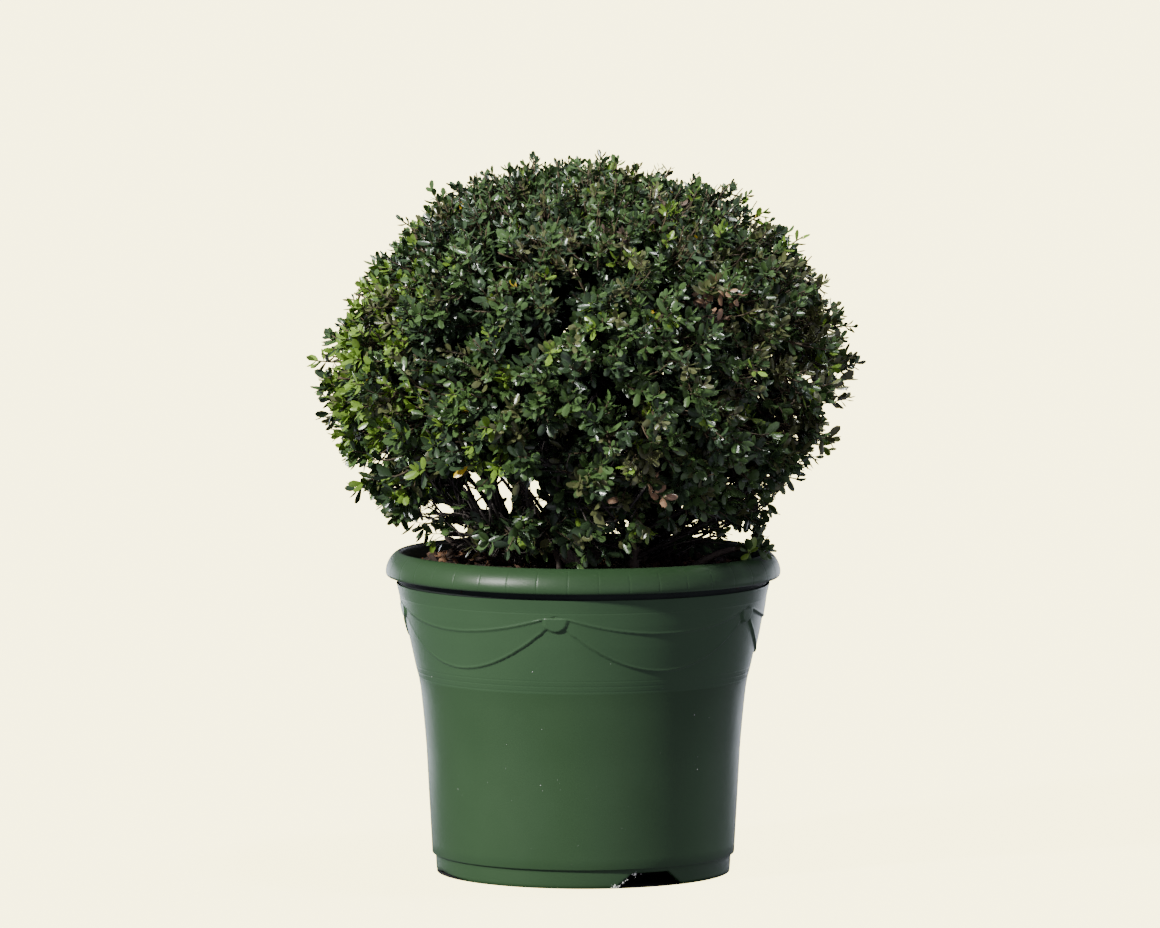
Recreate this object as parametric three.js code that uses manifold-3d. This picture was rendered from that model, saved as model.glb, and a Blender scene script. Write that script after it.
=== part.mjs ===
// Japanese holly clipped to a ball, in a round garden pot. Millimetres, +Z up, front towards -Y.
// The origin is the centre of the pot's underside, on the ground that the pot stands on.
import * as THREE from "three";
import { mergeVertices } from "three/addons/utils/BufferGeometryUtils.js";
import Module from "manifold-3d";

const wasm = await Module();
wasm.setup();

// Driving dimensions of the pot
const RIM_RADIUS = 225;
const POT_HEIGHT = 366;
const WALL = 3.2;
const FOOT_RADIUS = 167.5;
const FOOT_HEIGHT = 22;
const FLOOR_UNDERSIDE = 17;
const HUB_RADIUS = 18;
const POT_SEGMENTS = 36;

// The pot's outer wall, as radii at heights, and the heights at which its inner wall bends
const WALL_HEIGHTS = [24, 76, 138, 189, 227, 231, 275, 300, 317, 330];
const WALL_RADII = [172.6, 174, 177.5, 182, 186, 190.5, 199.5, 204, 206.5, 209.5];
const INNER_HEIGHTS = [24, 138, 227, 231, 300, 330];

// Driving dimensions of the pot's swags and of the notches in its foot ring
const SWAGS = 5;
const FIRST_BOSS_ANGLE = -8.7;
const BOSS_WIDTH = 28;
const BOSS_TOP = 312;
const BOSS_STAND = 4.5;
const BOSS_SUNK = 2.9;
const HEM_TOP = 300;
const HEM_SAG = 53;
const HEM_STAND = 2.4;
const HEM_STEPS = 6;
const HEM_ENDS = 0.04;
const NOTCHES = 3;
const FIRST_NOTCH_ANGLE = 27;
const NOTCH_FOOT_WIDTH = 86;
const NOTCH_TOP_WIDTH = 46;

// Driving dimensions of the soil and the limbs
const SOIL_TOP = 346;
const SOIL_FLAT_RADIUS = 150;
const SOIL_DIP = 8;
const CLEARANCE = 0.35;
const CUT_OFF = 8;
const TRUNK_FORK = 400;
const TRUNK_RADIUS = 24.5;
const TRUNK_FLARE = 0.5;
const TRUNK_LEAN = -5;
const TRUNK_SIDES = 11;
const TRUNK_STEPS = 5;
const BOUGH_RING = 16.5;
const BOUGH_FOOT_RADIUS = 6.6;
const STEM_FOOT_RADIUS = 8.5;
const BOUGH_TIP_RADIUS = 4.6;
const BOUGH_SIDES = 6;
const BOUGH_STEPS = 5;
const BOUGH_BEND = 0.42;
const TAPER_POWER = 0.8;

// Driving dimensions of the crown, as shares of the way from its centre to its clipped outline
const CROWN_CENTRE = new THREE.Vector3(0, 0, 575);
const CROWN_SIDE = 300;
const CROWN_UP = 238;
const CROWN_DOWN = 252;
const UPPER_REACH = 0.42;
const LOWER_REACH = 0.6;
const LOWER_HUB_ANGLE = -12;
const CORE_INSIDE = 0.56;
const CORE_OUTSIDE = 0.83;
const CORE_DETAIL = 2;
const TWIG_FOOT = 0.64;
const TWIG_TIP = 0.86;
const TWIG_TIP_SPREAD = 0.05;
const CELL_GAP = 1.6;

// Driving dimensions of the twigs and leaves, larger than life because they stand for many
const FORK_COUNT = 60;
const TWIG_COUNT = 136;
const TWIG_RADIUS = 2.6;
const TWIG_TAPER = 0.6;
const TWIG_FORKING = 0.6;
const SPRAY_STEM = 0.35;
const LEAVES_ON_TWIG = 2;
const LEAF_TURNS = 5;
const LEAF_LENGTH = 50;
const LEAF_WIDTH = 34;
const LEAF_THICKNESS = 2.4;
const LEAF_WIDEST = 0.56;
const LEAF_SPACING = 0.14;
const LEAF_SUNK = 1;
const SPRIG_LEAF_SIZE = 0.75;
const TIP_LEAF_ANGLE = 0.35;
const SIDE_LEAF_ANGLE = 0.95;

const GOLDEN_ANGLE = Math.PI * (3 - Math.sqrt(5));
const UP = new THREE.Vector3(0, 0, 1);
const { degToRad, lerp } = THREE.MathUtils;

// Round angles are 0 at the front and 90 to the right; the other angle is above the horizon.
const UPPER_MASSES = [
  { name: "top", round: 0, above: 90 },
  { name: "upper_front_left", round: -50, above: 34 },
  { name: "upper_front_right", round: 40, above: 34 },
  { name: "upper_back_right", round: 130, above: 34 },
  { name: "upper_back_left", round: 220, above: 34 },
];

// The underside of each lower mass, the place on the soil of its stem, and where that stem meets the mass
const LOWER_MASSES = [
  { name: "lower_left", round: -92, above: -24, underside: -38, foot: [-76, -30], entry: [-80, -42] },
  { name: "lower_front", round: -25, above: -24, underside: -27, foot: [8, -72], entry: [-33, -31] },
  { name: "lower_front_right", round: 45, above: -24, underside: -42, foot: [56, -54], entry: [44, -46] },
  { name: "lower_back_right", round: 115, above: -24, underside: -42, foot: [68, 32], entry: [115, -46] },
  { name: "lower_back_left", round: 190, above: -24, underside: -30, foot: [-14, 72], entry: [190, -34] },
];
const MASSES = [...UPPER_MASSES, ...LOWER_MASSES];

// Where the clipped outline swells or is drawn in: round, above, half width in degrees, share of the reach
const SWELLINGS = [
  [-90, 27, 24, -0.075],
  [90, -16, 14, -0.08],
  [90, 60, 9, -0.04],
  [25, 18, 26, 0.02],
  [150, 8, 30, -0.025],
];

// Shoots that stand out of the outline: round, above, and the share that their last leaf reaches
const SPRIGS = [
  [-90, 74, 1.06],
  [-30, 86, 1.035],
  [98, 5, 1.1],
  [96, -7, 1.125],
  [96, -19, 1.13],
  [-92, -3, 1.045],
  [-120, 20, 1.03],
  [20, 30, 1.03],
  [200, 12, 1.03],
];

// Small limbs near the soil: the cut stub at the left, the branch over the rim, and the shoot in front
const CUT_STUB = { foot: [-120, 60], bend: [-139, 61, 360], tip: [-158, 62, 376], radii: [4.2, 2.8] };
const LOW_BRANCH = { foot: [110, -54], bend: [140, -60, 378], tip: [196, -70, 386], radii: [4.6, 3] };
const FRONT_SHOOT = { foot: [-24, -112], bend: [-26, -112, 362], tip: [-34, -118, 380], radii: [4, 2.8] };

// The sprays at the tips of those two: the number, length, and lean of their twigs, and how low leaves may hang
const LOW_SPRAY = { count: 4, length: 40, spread: 0.7, size: 0.72, lowest: POT_HEIGHT + 4, seed: 2 };
const FRONT_SPRAY = { count: 5, length: 52, spread: 1, size: 0.78, lowest: SOIL_TOP + 4, seed: 5 };

const potPlastic = new THREE.MeshStandardMaterial({ color: 0x3f6140, roughness: 0.55, metalness: 0 });
const pottingSoil = new THREE.MeshStandardMaterial({ color: 0x3a2418, roughness: 0.95, metalness: 0 });
const bark = new THREE.MeshStandardMaterial({ color: 0x4a3f36, roughness: 0.9, metalness: 0 });
const foliage = new THREE.MeshStandardMaterial({ color: 0x23401c, roughness: 0.45, metalness: 0 });

// A number from 0 to 1 that depends only on its two seeds.
function seeded(n, k) {
  const wave = Math.sin(n * 12.9898 + k * 78.233) * 43758.5453;
  return wave - Math.floor(wave);
}

// The unit vector at an angle round the plant and an angle above the horizon.
function direction(round, above) {
  const [a, e] = [degToRad(round), degToRad(above)];
  return new THREE.Vector3(Math.sin(a) * Math.cos(e), -Math.cos(a) * Math.cos(e), Math.sin(e));
}

// Solids from three.js geometry, and back
function solid(geometry) {
  const bare = geometry.clone();
  for (const name of Object.keys(bare.attributes)) {
    if (name !== "position") bare.deleteAttribute(name);
  }
  const merged = mergeVertices(bare, 1e-4);
  return new wasm.Manifold(
    new wasm.Mesh({
      numProp: 3,
      vertProperties: merged.attributes.position.array,
      triVerts: new Uint32Array(merged.index.array),
    }),
  );
}

function geometryOf(made) {
  const mesh = made.getMesh();
  return new THREE.BufferGeometry()
    .setAttribute("position", new THREE.BufferAttribute(mesh.vertProperties, 3))
    .setIndex(new THREE.BufferAttribute(mesh.triVerts, 1));
}

function joined(solids) {
  return solids.reduce((whole, next) => whole.add(next));
}

// A limb: a cylinder whose rings are carried along a curve. radiusAt(0) is its foot's radius, radiusAt(1) its tip's.
function limb(curve, radiusAt, sides, steps) {
  const geometry = new THREE.CylinderGeometry(1, 1, 1, sides, steps);
  const frames = curve.computeFrenetFrames(steps, false);
  const place = geometry.attributes.position;
  for (let i = 0; i < place.count; i++) {
    const share = place.getY(i) + 0.5;
    const ring = Math.round(share * steps);
    const radius = radiusAt(share);
    const point = curve.getPointAt(share);
    point.addScaledVector(frames.normals[ring], place.getX(i) * radius);
    point.addScaledVector(frames.binormals[ring], -place.getZ(i) * radius);
    place.setXYZ(i, point.x, point.y, point.z);
  }
  return solid(geometry);
}

// The pot

// The pot's outer wall radius at a height.
function wallRadius(z) {
  const above = WALL_HEIGHTS.findIndex((height) => height >= z);
  const i = above === -1 ? WALL_HEIGHTS.length - 1 : Math.max(1, above);
  const share = (z - WALL_HEIGHTS[i - 1]) / (WALL_HEIGHTS[i] - WALL_HEIGHTS[i - 1]);
  return lerp(WALL_RADII[i - 1], WALL_RADII[i], share);
}

// The pot's section, from the middle of its underside out, up over the rolled rim and down inside.
function potProfile() {
  const underside = [
    [0, 0],
    [HUB_RADIUS, 0],
    [HUB_RADIUS + 1, FLOOR_UNDERSIDE],
    [FOOT_RADIUS - 5, FLOOR_UNDERSIDE],
    [FOOT_RADIUS - 4, 0],
    [FOOT_RADIUS, 0],
    [FOOT_RADIUS + 1, FOOT_HEIGHT],
  ];
  const outside = WALL_HEIGHTS.map((height, i) => [WALL_RADII[i], height]);
  const rim = [
    [RIM_RADIUS - 14, POT_HEIGHT - 9],
    [RIM_RADIUS - 5, POT_HEIGHT - 14],
    [RIM_RADIUS - 4, POT_HEIGHT - 33],
    [RIM_RADIUS - 1, POT_HEIGHT - 33],
    [RIM_RADIUS, POT_HEIGHT - 18],
    [RIM_RADIUS - 3, POT_HEIGHT - 6],
    [RIM_RADIUS - 9, POT_HEIGHT],
    [RIM_RADIUS - 16, POT_HEIGHT - 2],
  ];
  const inside = INNER_HEIGHTS.map((height) => [wallRadius(height) - WALL, height]).reverse();
  const floor = [
    [WALL_RADII[0] - WALL - 1, FLOOR_UNDERSIDE + WALL],
    [0, FLOOR_UNDERSIDE + WALL],
  ];
  return [...underside, ...outside, ...rim, ...inside, ...floor];
}

function turned(profile) {
  const points = profile.map(([radius, height]) => new THREE.Vector2(radius, height));
  return solid(new THREE.LatheGeometry(points, POT_SEGMENTS).rotateX(Math.PI / 2));
}

function around(count, first) {
  return Array.from({ length: count }, (_, i) => first + (i * 360) / count);
}

// Places a shape drawn across and up at an angle round the pot, extruded outwards from a radius.
function outwards(shape, round, radius, depth, height) {
  const out = direction(round, 0);
  const across = new THREE.Vector3().crossVectors(UP, out);
  const place = new THREE.Matrix4().makeBasis(across, UP, out);
  place.setPosition(out.clone().multiplyScalar(radius).setZ(height));
  const geometry = new THREE.ExtrudeGeometry(shape, { depth, bevelEnabled: false, curveSegments: 5 });
  return solid(geometry.applyMatrix4(place));
}

// A half-round boss that two swags hang from.
function boss(round) {
  const half = BOSS_WIDTH / 2;
  const shape = new THREE.Shape().absarc(0, 0, half, Math.PI, 2 * Math.PI);
  return outwards(shape, round, wallRadius(BOSS_TOP) - BOSS_SUNK, BOSS_SUNK + BOSS_STAND, BOSS_TOP);
}

// The raised lower hem of a swag: a ridge that hangs as a parabola between two bosses.
function swagHem(startAngle) {
  const spread = 360 / SWAGS;
  const points = Array.from({ length: HEM_STEPS + 1 }, (_, i) => {
    const share = lerp(HEM_ENDS, 1 - HEM_ENDS, i / HEM_STEPS);
    const height = HEM_TOP - HEM_SAG * 4 * share * (1 - share);
    return direction(startAngle + share * spread, 0).multiplyScalar(wallRadius(height)).setZ(height);
  });
  return limb(new THREE.CatmullRomCurve3(points), () => HEM_STAND, 4, HEM_STEPS);
}

// A drainage notch in the foot ring, wider at the ground.
function notch(round) {
  const [low, high, top] = [NOTCH_FOOT_WIDTH / 2, NOTCH_TOP_WIDTH / 2, FLOOR_UNDERSIDE - 0.5];
  const shape = new THREE.Shape().moveTo(-low, -1).lineTo(low, -1).lineTo(high, top).lineTo(-high, top);
  return outwards(shape, round, FOOT_RADIUS / 2, FOOT_RADIUS, 0);
}

function pot() {
  const hung = around(SWAGS, FIRST_BOSS_ANGLE).flatMap((round) => [boss(round), swagHem(round)]);
  const cuts = around(NOTCHES, FIRST_NOTCH_ANGLE).map(notch);
  return joined([turned(potProfile()), ...hung]).subtract(joined(cuts));
}

// The root ball and its top dressing: it fills the pot, flat where the stems stand and lower along the wall.
function soil() {
  const bottom = FLOOR_UNDERSIDE + WALL + CLEARANCE;
  const wall = INNER_HEIGHTS.map((height) => [wallRadius(height) - WALL - CLEARANCE, height]);
  return turned([
    [0, bottom],
    [WALL_RADII[0] - WALL - 1 - CLEARANCE, bottom],
    ...wall,
    [wallRadius(WALL_HEIGHTS.at(-1)) - WALL - CLEARANCE, SOIL_TOP - SOIL_DIP],
    [SOIL_FLAT_RADIUS, SOIL_TOP],
    [0, SOIL_TOP],
  ]);
}

// The clipped outline

// How far the clipped outline lies from the crown's centre in a direction.
function outline(towards) {
  const rise = towards.z > 0 ? CROWN_UP : CROWN_DOWN;
  const reach = 1 / Math.hypot(Math.hypot(towards.x, towards.y) / CROWN_SIDE, towards.z / rise);
  const change = SWELLINGS.reduce((sum, [round, above, width, height]) => {
    const turn = towards.angleTo(direction(round, above)) / degToRad(width);
    return sum + height * Math.exp(-turn * turn);
  }, 0);
  return reach * (1 + change);
}

// The point at a share of the way from the crown's centre to its outline.
function within(towards, share) {
  return CROWN_CENTRE.clone().addScaledVector(towards, outline(towards) * share);
}

// Directions spread evenly over the whole crown by the golden angle, each moved a little by its seed.
function spreadDirections(count, seed) {
  return Array.from({ length: count }, (_, i) => {
    const height = 1 - (2 * (i + 0.5)) / count;
    const angle = i * GOLDEN_ANGLE + 0.4 * (seeded(i, seed) - 0.5);
    const flat = Math.sqrt(1 - height * height);
    return new THREE.Vector3(Math.cos(angle) * flat, Math.sin(angle) * flat, height);
  });
}

// Limbs

// Where each mass is, the flat sides of its space, its hub of twigs, and where its limb ends.
for (const mass of MASSES) mass.middle = direction(mass.round, mass.above);
for (const mass of MASSES) {
  const low = LOWER_MASSES.includes(mass);
  mass.sides = MASSES.filter((other) => other !== mass).map((other) =>
    new THREE.Vector3().subVectors(mass.middle, other.middle).normalize(),
  );
  if (low) mass.sides.push(direction(mass.round, mass.underside + 90));
  mass.hub = within(low ? direction(mass.round, LOWER_HUB_ANGLE) : mass.middle, TWIG_FOOT);
  mass.entry = low ? within(direction(...mass.entry), LOWER_REACH) : within(mass.middle, UPPER_REACH);
  mass.entering = mass.hub.clone().sub(mass.entry).normalize();
}

// The curve of a limb that ends square to the stem of its mass.
function limbCurve(from, to, entering) {
  const bend = to.clone().addScaledVector(entering, -BOUGH_BEND * from.distanceTo(to));
  return new THREE.QuadraticBezierCurve3(from, bend, to);
}

function taperingLimb(curve, footRadius, tipRadius, extra) {
  const radiusAt = (share) => lerp(footRadius, tipRadius, Math.pow(share, TAPER_POWER)) + extra;
  return limb(curve, radiusAt, BOUGH_SIDES, BOUGH_STEPS);
}

// Cuts away what lies in the soil or a hair above it.
function cutAtSoil(made) {
  const ground = new THREE.BoxGeometry(2 * RIM_RADIUS, 2 * RIM_RADIUS, SOIL_TOP);
  return made.subtract(solid(ground.translate(0, 0, SOIL_TOP / 2 + CLEARANCE)));
}

// The short trunk, flared at the soil, from which the upper boughs fork.
function trunk(extra) {
  const foot = new THREE.Vector3(0, 0, SOIL_TOP - CUT_OFF);
  const fork = new THREE.Vector3(TRUNK_LEAN, 0, TRUNK_FORK + extra);
  const radiusAt = (share) => TRUNK_RADIUS * (1 + TRUNK_FLARE * Math.exp(-share * TRUNK_STEPS)) + extra;
  return cutAtSoil(limb(new THREE.LineCurve3(foot, fork), radiusAt, TRUNK_SIDES, TRUNK_STEPS));
}

// A bough from the trunk's fork to an upper mass.
function bough(mass, extra) {
  const ring = mass.above === 90 ? 0 : BOUGH_RING;
  const fork = new THREE.Vector3(TRUNK_LEAN, 0, TRUNK_FORK - CUT_OFF);
  const from = direction(mass.round, 0).multiplyScalar(ring).add(fork);
  const curve = limbCurve(from, mass.entry, mass.entering);
  return taperingLimb(curve, BOUGH_FOOT_RADIUS, BOUGH_TIP_RADIUS, extra).subtract(trunk(CLEARANCE));
}

// A stem of its own from the soil to a lower mass.
function stem(mass, extra) {
  const from = new THREE.Vector3(...mass.foot, SOIL_TOP - CUT_OFF);
  const curve = limbCurve(from, mass.entry, mass.entering);
  return cutAtSoil(taperingLimb(curve, STEM_FOOT_RADIUS, BOUGH_TIP_RADIUS, extra));
}

// A small limb of its own from the soil, through a bend to its tip, with its foot and tip radius.
function lowCurve({ foot, bend, tip }) {
  const from = new THREE.Vector3(...foot, SOIL_TOP - CUT_OFF);
  return new THREE.QuadraticBezierCurve3(from, new THREE.Vector3(...bend), new THREE.Vector3(...tip));
}

function lowLimb(low) {
  return cutAtSoil(taperingLimb(lowCurve(low), ...low.radii, 0));
}

// Twigs and leaves

// A leaf of eight faces, from its foot along a direction, widest past its middle.
function leaf(foot, along, faceUp, length, width, thickness) {
  const geometry = new THREE.OctahedronGeometry(1);
  const place = geometry.attributes.position;
  for (let i = 0; i < place.count; i++) {
    const [x, y, z] = [place.getX(i), place.getY(i), place.getZ(i)];
    const share = Math.abs(x) > 0.5 ? (x + 1) / 2 : LEAF_WIDEST;
    place.setXYZ(i, share * length, (y * width) / 2, (z * thickness) / 2);
  }
  const side = new THREE.Vector3().crossVectors(faceUp, along).normalize();
  const top = new THREE.Vector3().crossVectors(along, side);
  return geometry.applyMatrix4(new THREE.Matrix4().makeBasis(along, side, top).setPosition(foot));
}

function cornersOf(geometry) {
  const place = geometry.attributes.position;
  return Array.from({ length: place.count }, (_, i) => new THREE.Vector3().fromBufferAttribute(place, i));
}

// A straight twig with three sides.
function twig(from, to, footRadius, tipRadius) {
  return limb(new THREE.LineCurve3(from, to), (share) => lerp(footRadius, tipRadius, share), 3, 1);
}

// A unit vector square to another one, turned round it by an angle.
function squareTo(along, angle) {
  const helper = Math.abs(along.z) < 0.9 ? UP : new THREE.Vector3(1, 0, 0);
  return new THREE.Vector3().crossVectors(along, helper).normalize().applyAxisAngle(along, angle);
}

// The direction that leans from another one by an angle, towards a side.
function leaning(along, side, angle) {
  return along.clone().multiplyScalar(Math.cos(angle)).addScaledVector(side, Math.sin(angle));
}

// Leaves on the outer part of a twig: one at its tip, the others turned by a seeded angle below it. One that
// would leave its mass's space or touch a limb is turned on round the twig, or skipped when no turn clears it.
function leavesOn(from, to, seed, size, holds) {
  const along = new THREE.Vector3().subVectors(to, from).normalize();
  const made = [];
  for (let i = 0; i < LEAVES_ON_TWIG; i++) {
    const lean = i === 0 ? TIP_LEAF_ANGLE : SIDE_LEAF_ANGLE + 0.3 * seeded(seed, i);
    const scale = size * (0.85 + 0.3 * seeded(seed, i + 7));
    for (let turn = 0; turn < LEAF_TURNS; turn++) {
      const angle = 2 * Math.PI * (seeded(seed, 3) + turn / LEAF_TURNS) + i * GOLDEN_ANGLE;
      const towards = leaning(along, squareTo(along, angle), lean);
      const foot = from.clone().lerp(to, 0.98 - LEAF_SPACING * i).addScaledVector(towards, -LEAF_SUNK);
      const blade = leaf(foot, towards, along, LEAF_LENGTH * scale, LEAF_WIDTH * scale, LEAF_THICKNESS);
      if (!holds(cornersOf(blade)) || touchesLimb(solid(blade))) continue;
      made.push(solid(blade));
      break;
    }
  }
  return made;
}

// Whether a leaf or twig comes nearer to a limb than its clearance.
function touchesLimb(made) {
  return GROWN_LIMBS.some((limbSolid) => made.intersect(limbSolid).volume() > 0);
}

// Whether points lie inside the space of a mass, at least a margin from its flat sides.
function cellHolds(mass, points, margin) {
  return points.every((point) => {
    const offset = point.clone().sub(CROWN_CENTRE);
    return mass.sides.every((side) => side.dot(offset) > CELL_GAP / 2 + margin);
  });
}

// A block that covers all that lies outside one flat side of a cell.
function beyond(side) {
  const size = 4 * CROWN_SIDE;
  const turn = new THREE.Quaternion().setFromUnitVectors(UP, side);
  const place = new THREE.Matrix4().makeRotationFromQuaternion(turn);
  place.setPosition(CROWN_CENTRE.clone().addScaledVector(side, CELL_GAP / 2 - size / 2));
  return solid(new THREE.BoxGeometry(size, size, size).applyMatrix4(place));
}

// The outline drawn in to a share of its size, as a closed solid.
function shrunk(share) {
  const geometry = new THREE.IcosahedronGeometry(1, CORE_DETAIL);
  const place = geometry.attributes.position;
  for (let i = 0; i < place.count; i++) {
    const point = within(new THREE.Vector3().fromBufferAttribute(place, i).normalize(), share);
    place.setXYZ(i, point.x, point.y, point.z);
  }
  return solid(geometry);
}

// Every shoot's direction, and the share of the reach at which its twig ends.
function shoots() {
  const even = spreadDirections(TWIG_COUNT, 1).map((towards, i) => ({
    towards,
    share: TWIG_TIP + TWIG_TIP_SPREAD * (seeded(i, 5) - 0.5),
    size: 1,
  }));
  const sprigs = SPRIGS.map(([round, above, reach]) => {
    const towards = direction(round, above);
    const tipLeaf = (SPRIG_LEAF_SIZE * LEAF_LENGTH * Math.cos(TIP_LEAF_ANGLE)) / outline(towards);
    return { towards, share: reach - tipLeaf, size: SPRIG_LEAF_SIZE };
  });
  return [...even, ...sprigs];
}

const GROWN_LIMBS = [
  ...UPPER_MASSES.map((mass) => bough(mass, 2 * CLEARANCE)),
  ...LOWER_MASSES.map((mass) => stem(mass, 2 * CLEARANCE)),
];
const SHOOTS = shoots();
const FORKS = spreadDirections(FORK_COUNT, 2);
const CORE_SHELL = shrunk(CORE_OUTSIDE).subtract(shrunk(CORE_INSIDE));

// One mass of foliage: a stem from the limb's tip into a clipped core, with twigs and leaves standing out.
function massOf(mass) {
  const core = mass.sides.reduce((made, side) => made.subtract(beyond(side)), CORE_SHELL);
  const stemFoot = mass.entry.clone().addScaledVector(mass.entering, CLEARANCE);
  const parts = [core, twig(stemFoot, mass.hub, BOUGH_TIP_RADIUS, TWIG_RADIUS)];
  const forks = FORKS.filter((towards) => cellHolds(mass, [within(towards, TWIG_FOOT)], TWIG_RADIUS));
  SHOOTS.forEach(({ towards, share, size }, i) => {
    const tip = within(towards, share);
    if (!cellHolds(mass, [tip], TWIG_RADIUS)) return;
    const nearer = (best, next) => (next.dot(towards) > best.dot(towards) ? next : best);
    const near = forks.reduce(nearer, mass.middle);
    const foot = within(near.clone().lerp(towards, TWIG_FORKING).normalize(), TWIG_FOOT);
    parts.push(twig(foot, tip, TWIG_RADIUS, TWIG_RADIUS * TWIG_TAPER));
    parts.push(...leavesOn(foot, tip, i, size, (points) => cellHolds(mass, points, 0)));
  });
  return joined(parts);
}

// A small spray at the tip of a low limb: twigs that fan out of a short stem, with leaves above a height.
function spray(low, { count, length, spread, size, lowest, seed }) {
  const along = lowCurve(low).getTangentAt(1);
  const foot = new THREE.Vector3(...low.tip).addScaledVector(along, CLEARANCE);
  const fork = foot.clone().addScaledVector(along, length * SPRAY_STEM);
  const parts = [twig(foot, fork, low.radii[1], TWIG_RADIUS)];
  const holds = (points) => points.every((point) => point.z > lowest);
  for (let i = 0; i < count; i++) {
    const side = squareTo(along, i * GOLDEN_ANGLE + seed);
    const lean = i === 0 ? 0 : spread;
    const tip = fork.clone().addScaledVector(leaning(along, side, lean), length * (1 - SPRAY_STEM));
    const root = fork.clone().addScaledVector(along, -TWIG_RADIUS);
    parts.push(twig(root, tip, TWIG_RADIUS * 0.9, TWIG_RADIUS * TWIG_TAPER));
    parts.push(...leavesOn(root, tip, i + seed, size, holds));
  }
  return joined(parts);
}

// The whole plant in its pot
const plant = new THREE.Group();

function addMesh(name, made, material) {
  const mesh = new THREE.Mesh(geometryOf(made), material);
  mesh.name = name;
  plant.add(mesh);
}

addMesh("pot", pot(), potPlastic);
addMesh("soil", soil(), pottingSoil);
addMesh("trunk", trunk(0), bark);
for (const mass of UPPER_MASSES) addMesh(`bough_${mass.name}`, bough(mass, 0), bark);
for (const mass of LOWER_MASSES) addMesh(`stem_${mass.name}`, stem(mass, 0), bark);
addMesh("cut_stub", lowLimb(CUT_STUB), bark);
addMesh("low_branch", lowLimb(LOW_BRANCH), bark);
addMesh("front_shoot", lowLimb(FRONT_SHOOT), bark);
for (const mass of MASSES) addMesh(`foliage_${mass.name}`, massOf(mass), foliage);
addMesh("foliage_low_branch", spray(LOW_BRANCH, LOW_SPRAY), foliage);
addMesh("foliage_front_shoot", spray(FRONT_SHOOT, FRONT_SPRAY), foliage);

export default plant;
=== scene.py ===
"""Dresses the potted Japanese holly ball: fine pot, bark mix, bark on the limbs, twigs and leaves.

Shapes are worked out in millimetres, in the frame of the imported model: +Z up, front towards -Y.
"""

from __future__ import annotations

import logging
import math
from dataclasses import dataclass, field, replace
from enum import IntEnum
from typing import Sequence, TypeVar

import bpy
import numpy as np
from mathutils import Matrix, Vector

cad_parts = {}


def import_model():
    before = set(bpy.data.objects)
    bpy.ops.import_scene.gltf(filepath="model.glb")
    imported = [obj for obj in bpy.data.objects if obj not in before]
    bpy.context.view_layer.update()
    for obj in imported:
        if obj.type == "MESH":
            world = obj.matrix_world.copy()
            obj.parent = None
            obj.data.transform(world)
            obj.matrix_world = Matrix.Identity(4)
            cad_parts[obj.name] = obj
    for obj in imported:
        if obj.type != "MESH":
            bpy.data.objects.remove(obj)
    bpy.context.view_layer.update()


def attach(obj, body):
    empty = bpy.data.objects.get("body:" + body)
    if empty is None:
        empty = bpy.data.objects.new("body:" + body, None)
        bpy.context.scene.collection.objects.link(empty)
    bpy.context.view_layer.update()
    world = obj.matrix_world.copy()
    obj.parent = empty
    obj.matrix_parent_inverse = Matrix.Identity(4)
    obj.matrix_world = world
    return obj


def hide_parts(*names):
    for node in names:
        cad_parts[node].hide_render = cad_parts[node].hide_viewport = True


LOG = logging.getLogger("holly")
METRES = 0.001
GOLDEN_ANGLE = math.pi * (3 - math.sqrt(5))
# A full turn in radians, to two decimals, for the angles dealt by seed
TURN = 6.28
UP = np.array([0.0, 0.0, 1.0])
ACROSS = np.array([1.0, 0.0, 0.0])
# How high the soil is, and how far the limbs start below it
SOIL_TOP = 346
CUT_OFF = 8
Pair = tuple[float, float]
Triple = tuple[float, float, float]
Table = tuple[tuple[float, ...], ...]
Kind = TypeVar("Kind", bound="Rows")


def seeded(n: np.ndarray | float, k: float) -> np.ndarray:
    """Gives numbers from 0 to 1 that depend only on their seeds: the fraction of a large sine wave.

    Args:
        n: one seed for each number wanted.
        k: a second seed, the same for all of them.

    Returns:
        The fractions, in the shape of n.
    """
    wave = np.sin(np.asarray(n, float) * 12.9898 + k * 78.233) * 43758.5453
    return wave - np.floor(wave)


def between(n: np.ndarray | float, k: float, low: float, high: float) -> np.ndarray:
    """Gives seeded numbers from low to high."""
    return low + (high - low) * seeded(n, k)


def shaken(n: np.ndarray, k: float) -> np.ndarray:
    """Gives seeded vectors whose parts run from -0.5 to 0.5, one for each number."""
    return seeded(n[:, None] + [0, 7, 13], k) - 0.5


def spans(start: np.ndarray, end: np.ndarray) -> np.ndarray:
    """Gives the distance between the two points of each row, as a column."""
    return np.linalg.norm(end - start, axis=-1, keepdims=True)


def unit(vectors: np.ndarray) -> np.ndarray:
    """Scales each vector in the last axis to length one."""
    return vectors / np.maximum(np.linalg.norm(vectors, axis=-1, keepdims=True), 1e-9)


def direction(turn: np.ndarray | float, above: np.ndarray | float) -> np.ndarray:
    """Gives unit vectors at angles round the plant, 0 in front and 90 at the right, and above the horizon.

    Args:
        turn: angles round the plant in degrees.
        above: angles above the horizon in degrees.

    Returns:
        Unit vectors, (sin a cos e, -cos a cos e, sin e).
    """
    a, e = np.radians(turn), np.radians(above)
    return np.stack([np.sin(a) * np.cos(e), -np.cos(a) * np.cos(e), np.sin(e) + 0 * a], axis=-1)


def ring_of(turn: np.ndarray, radius: np.ndarray, height: np.ndarray) -> np.ndarray:
    """Gives points at angles round the pot's axis, in degrees, at radii and heights."""
    a = np.radians(turn)
    return np.stack([np.sin(a) * radius, -np.cos(a) * radius, height + 0 * a], axis=-1)


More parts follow.
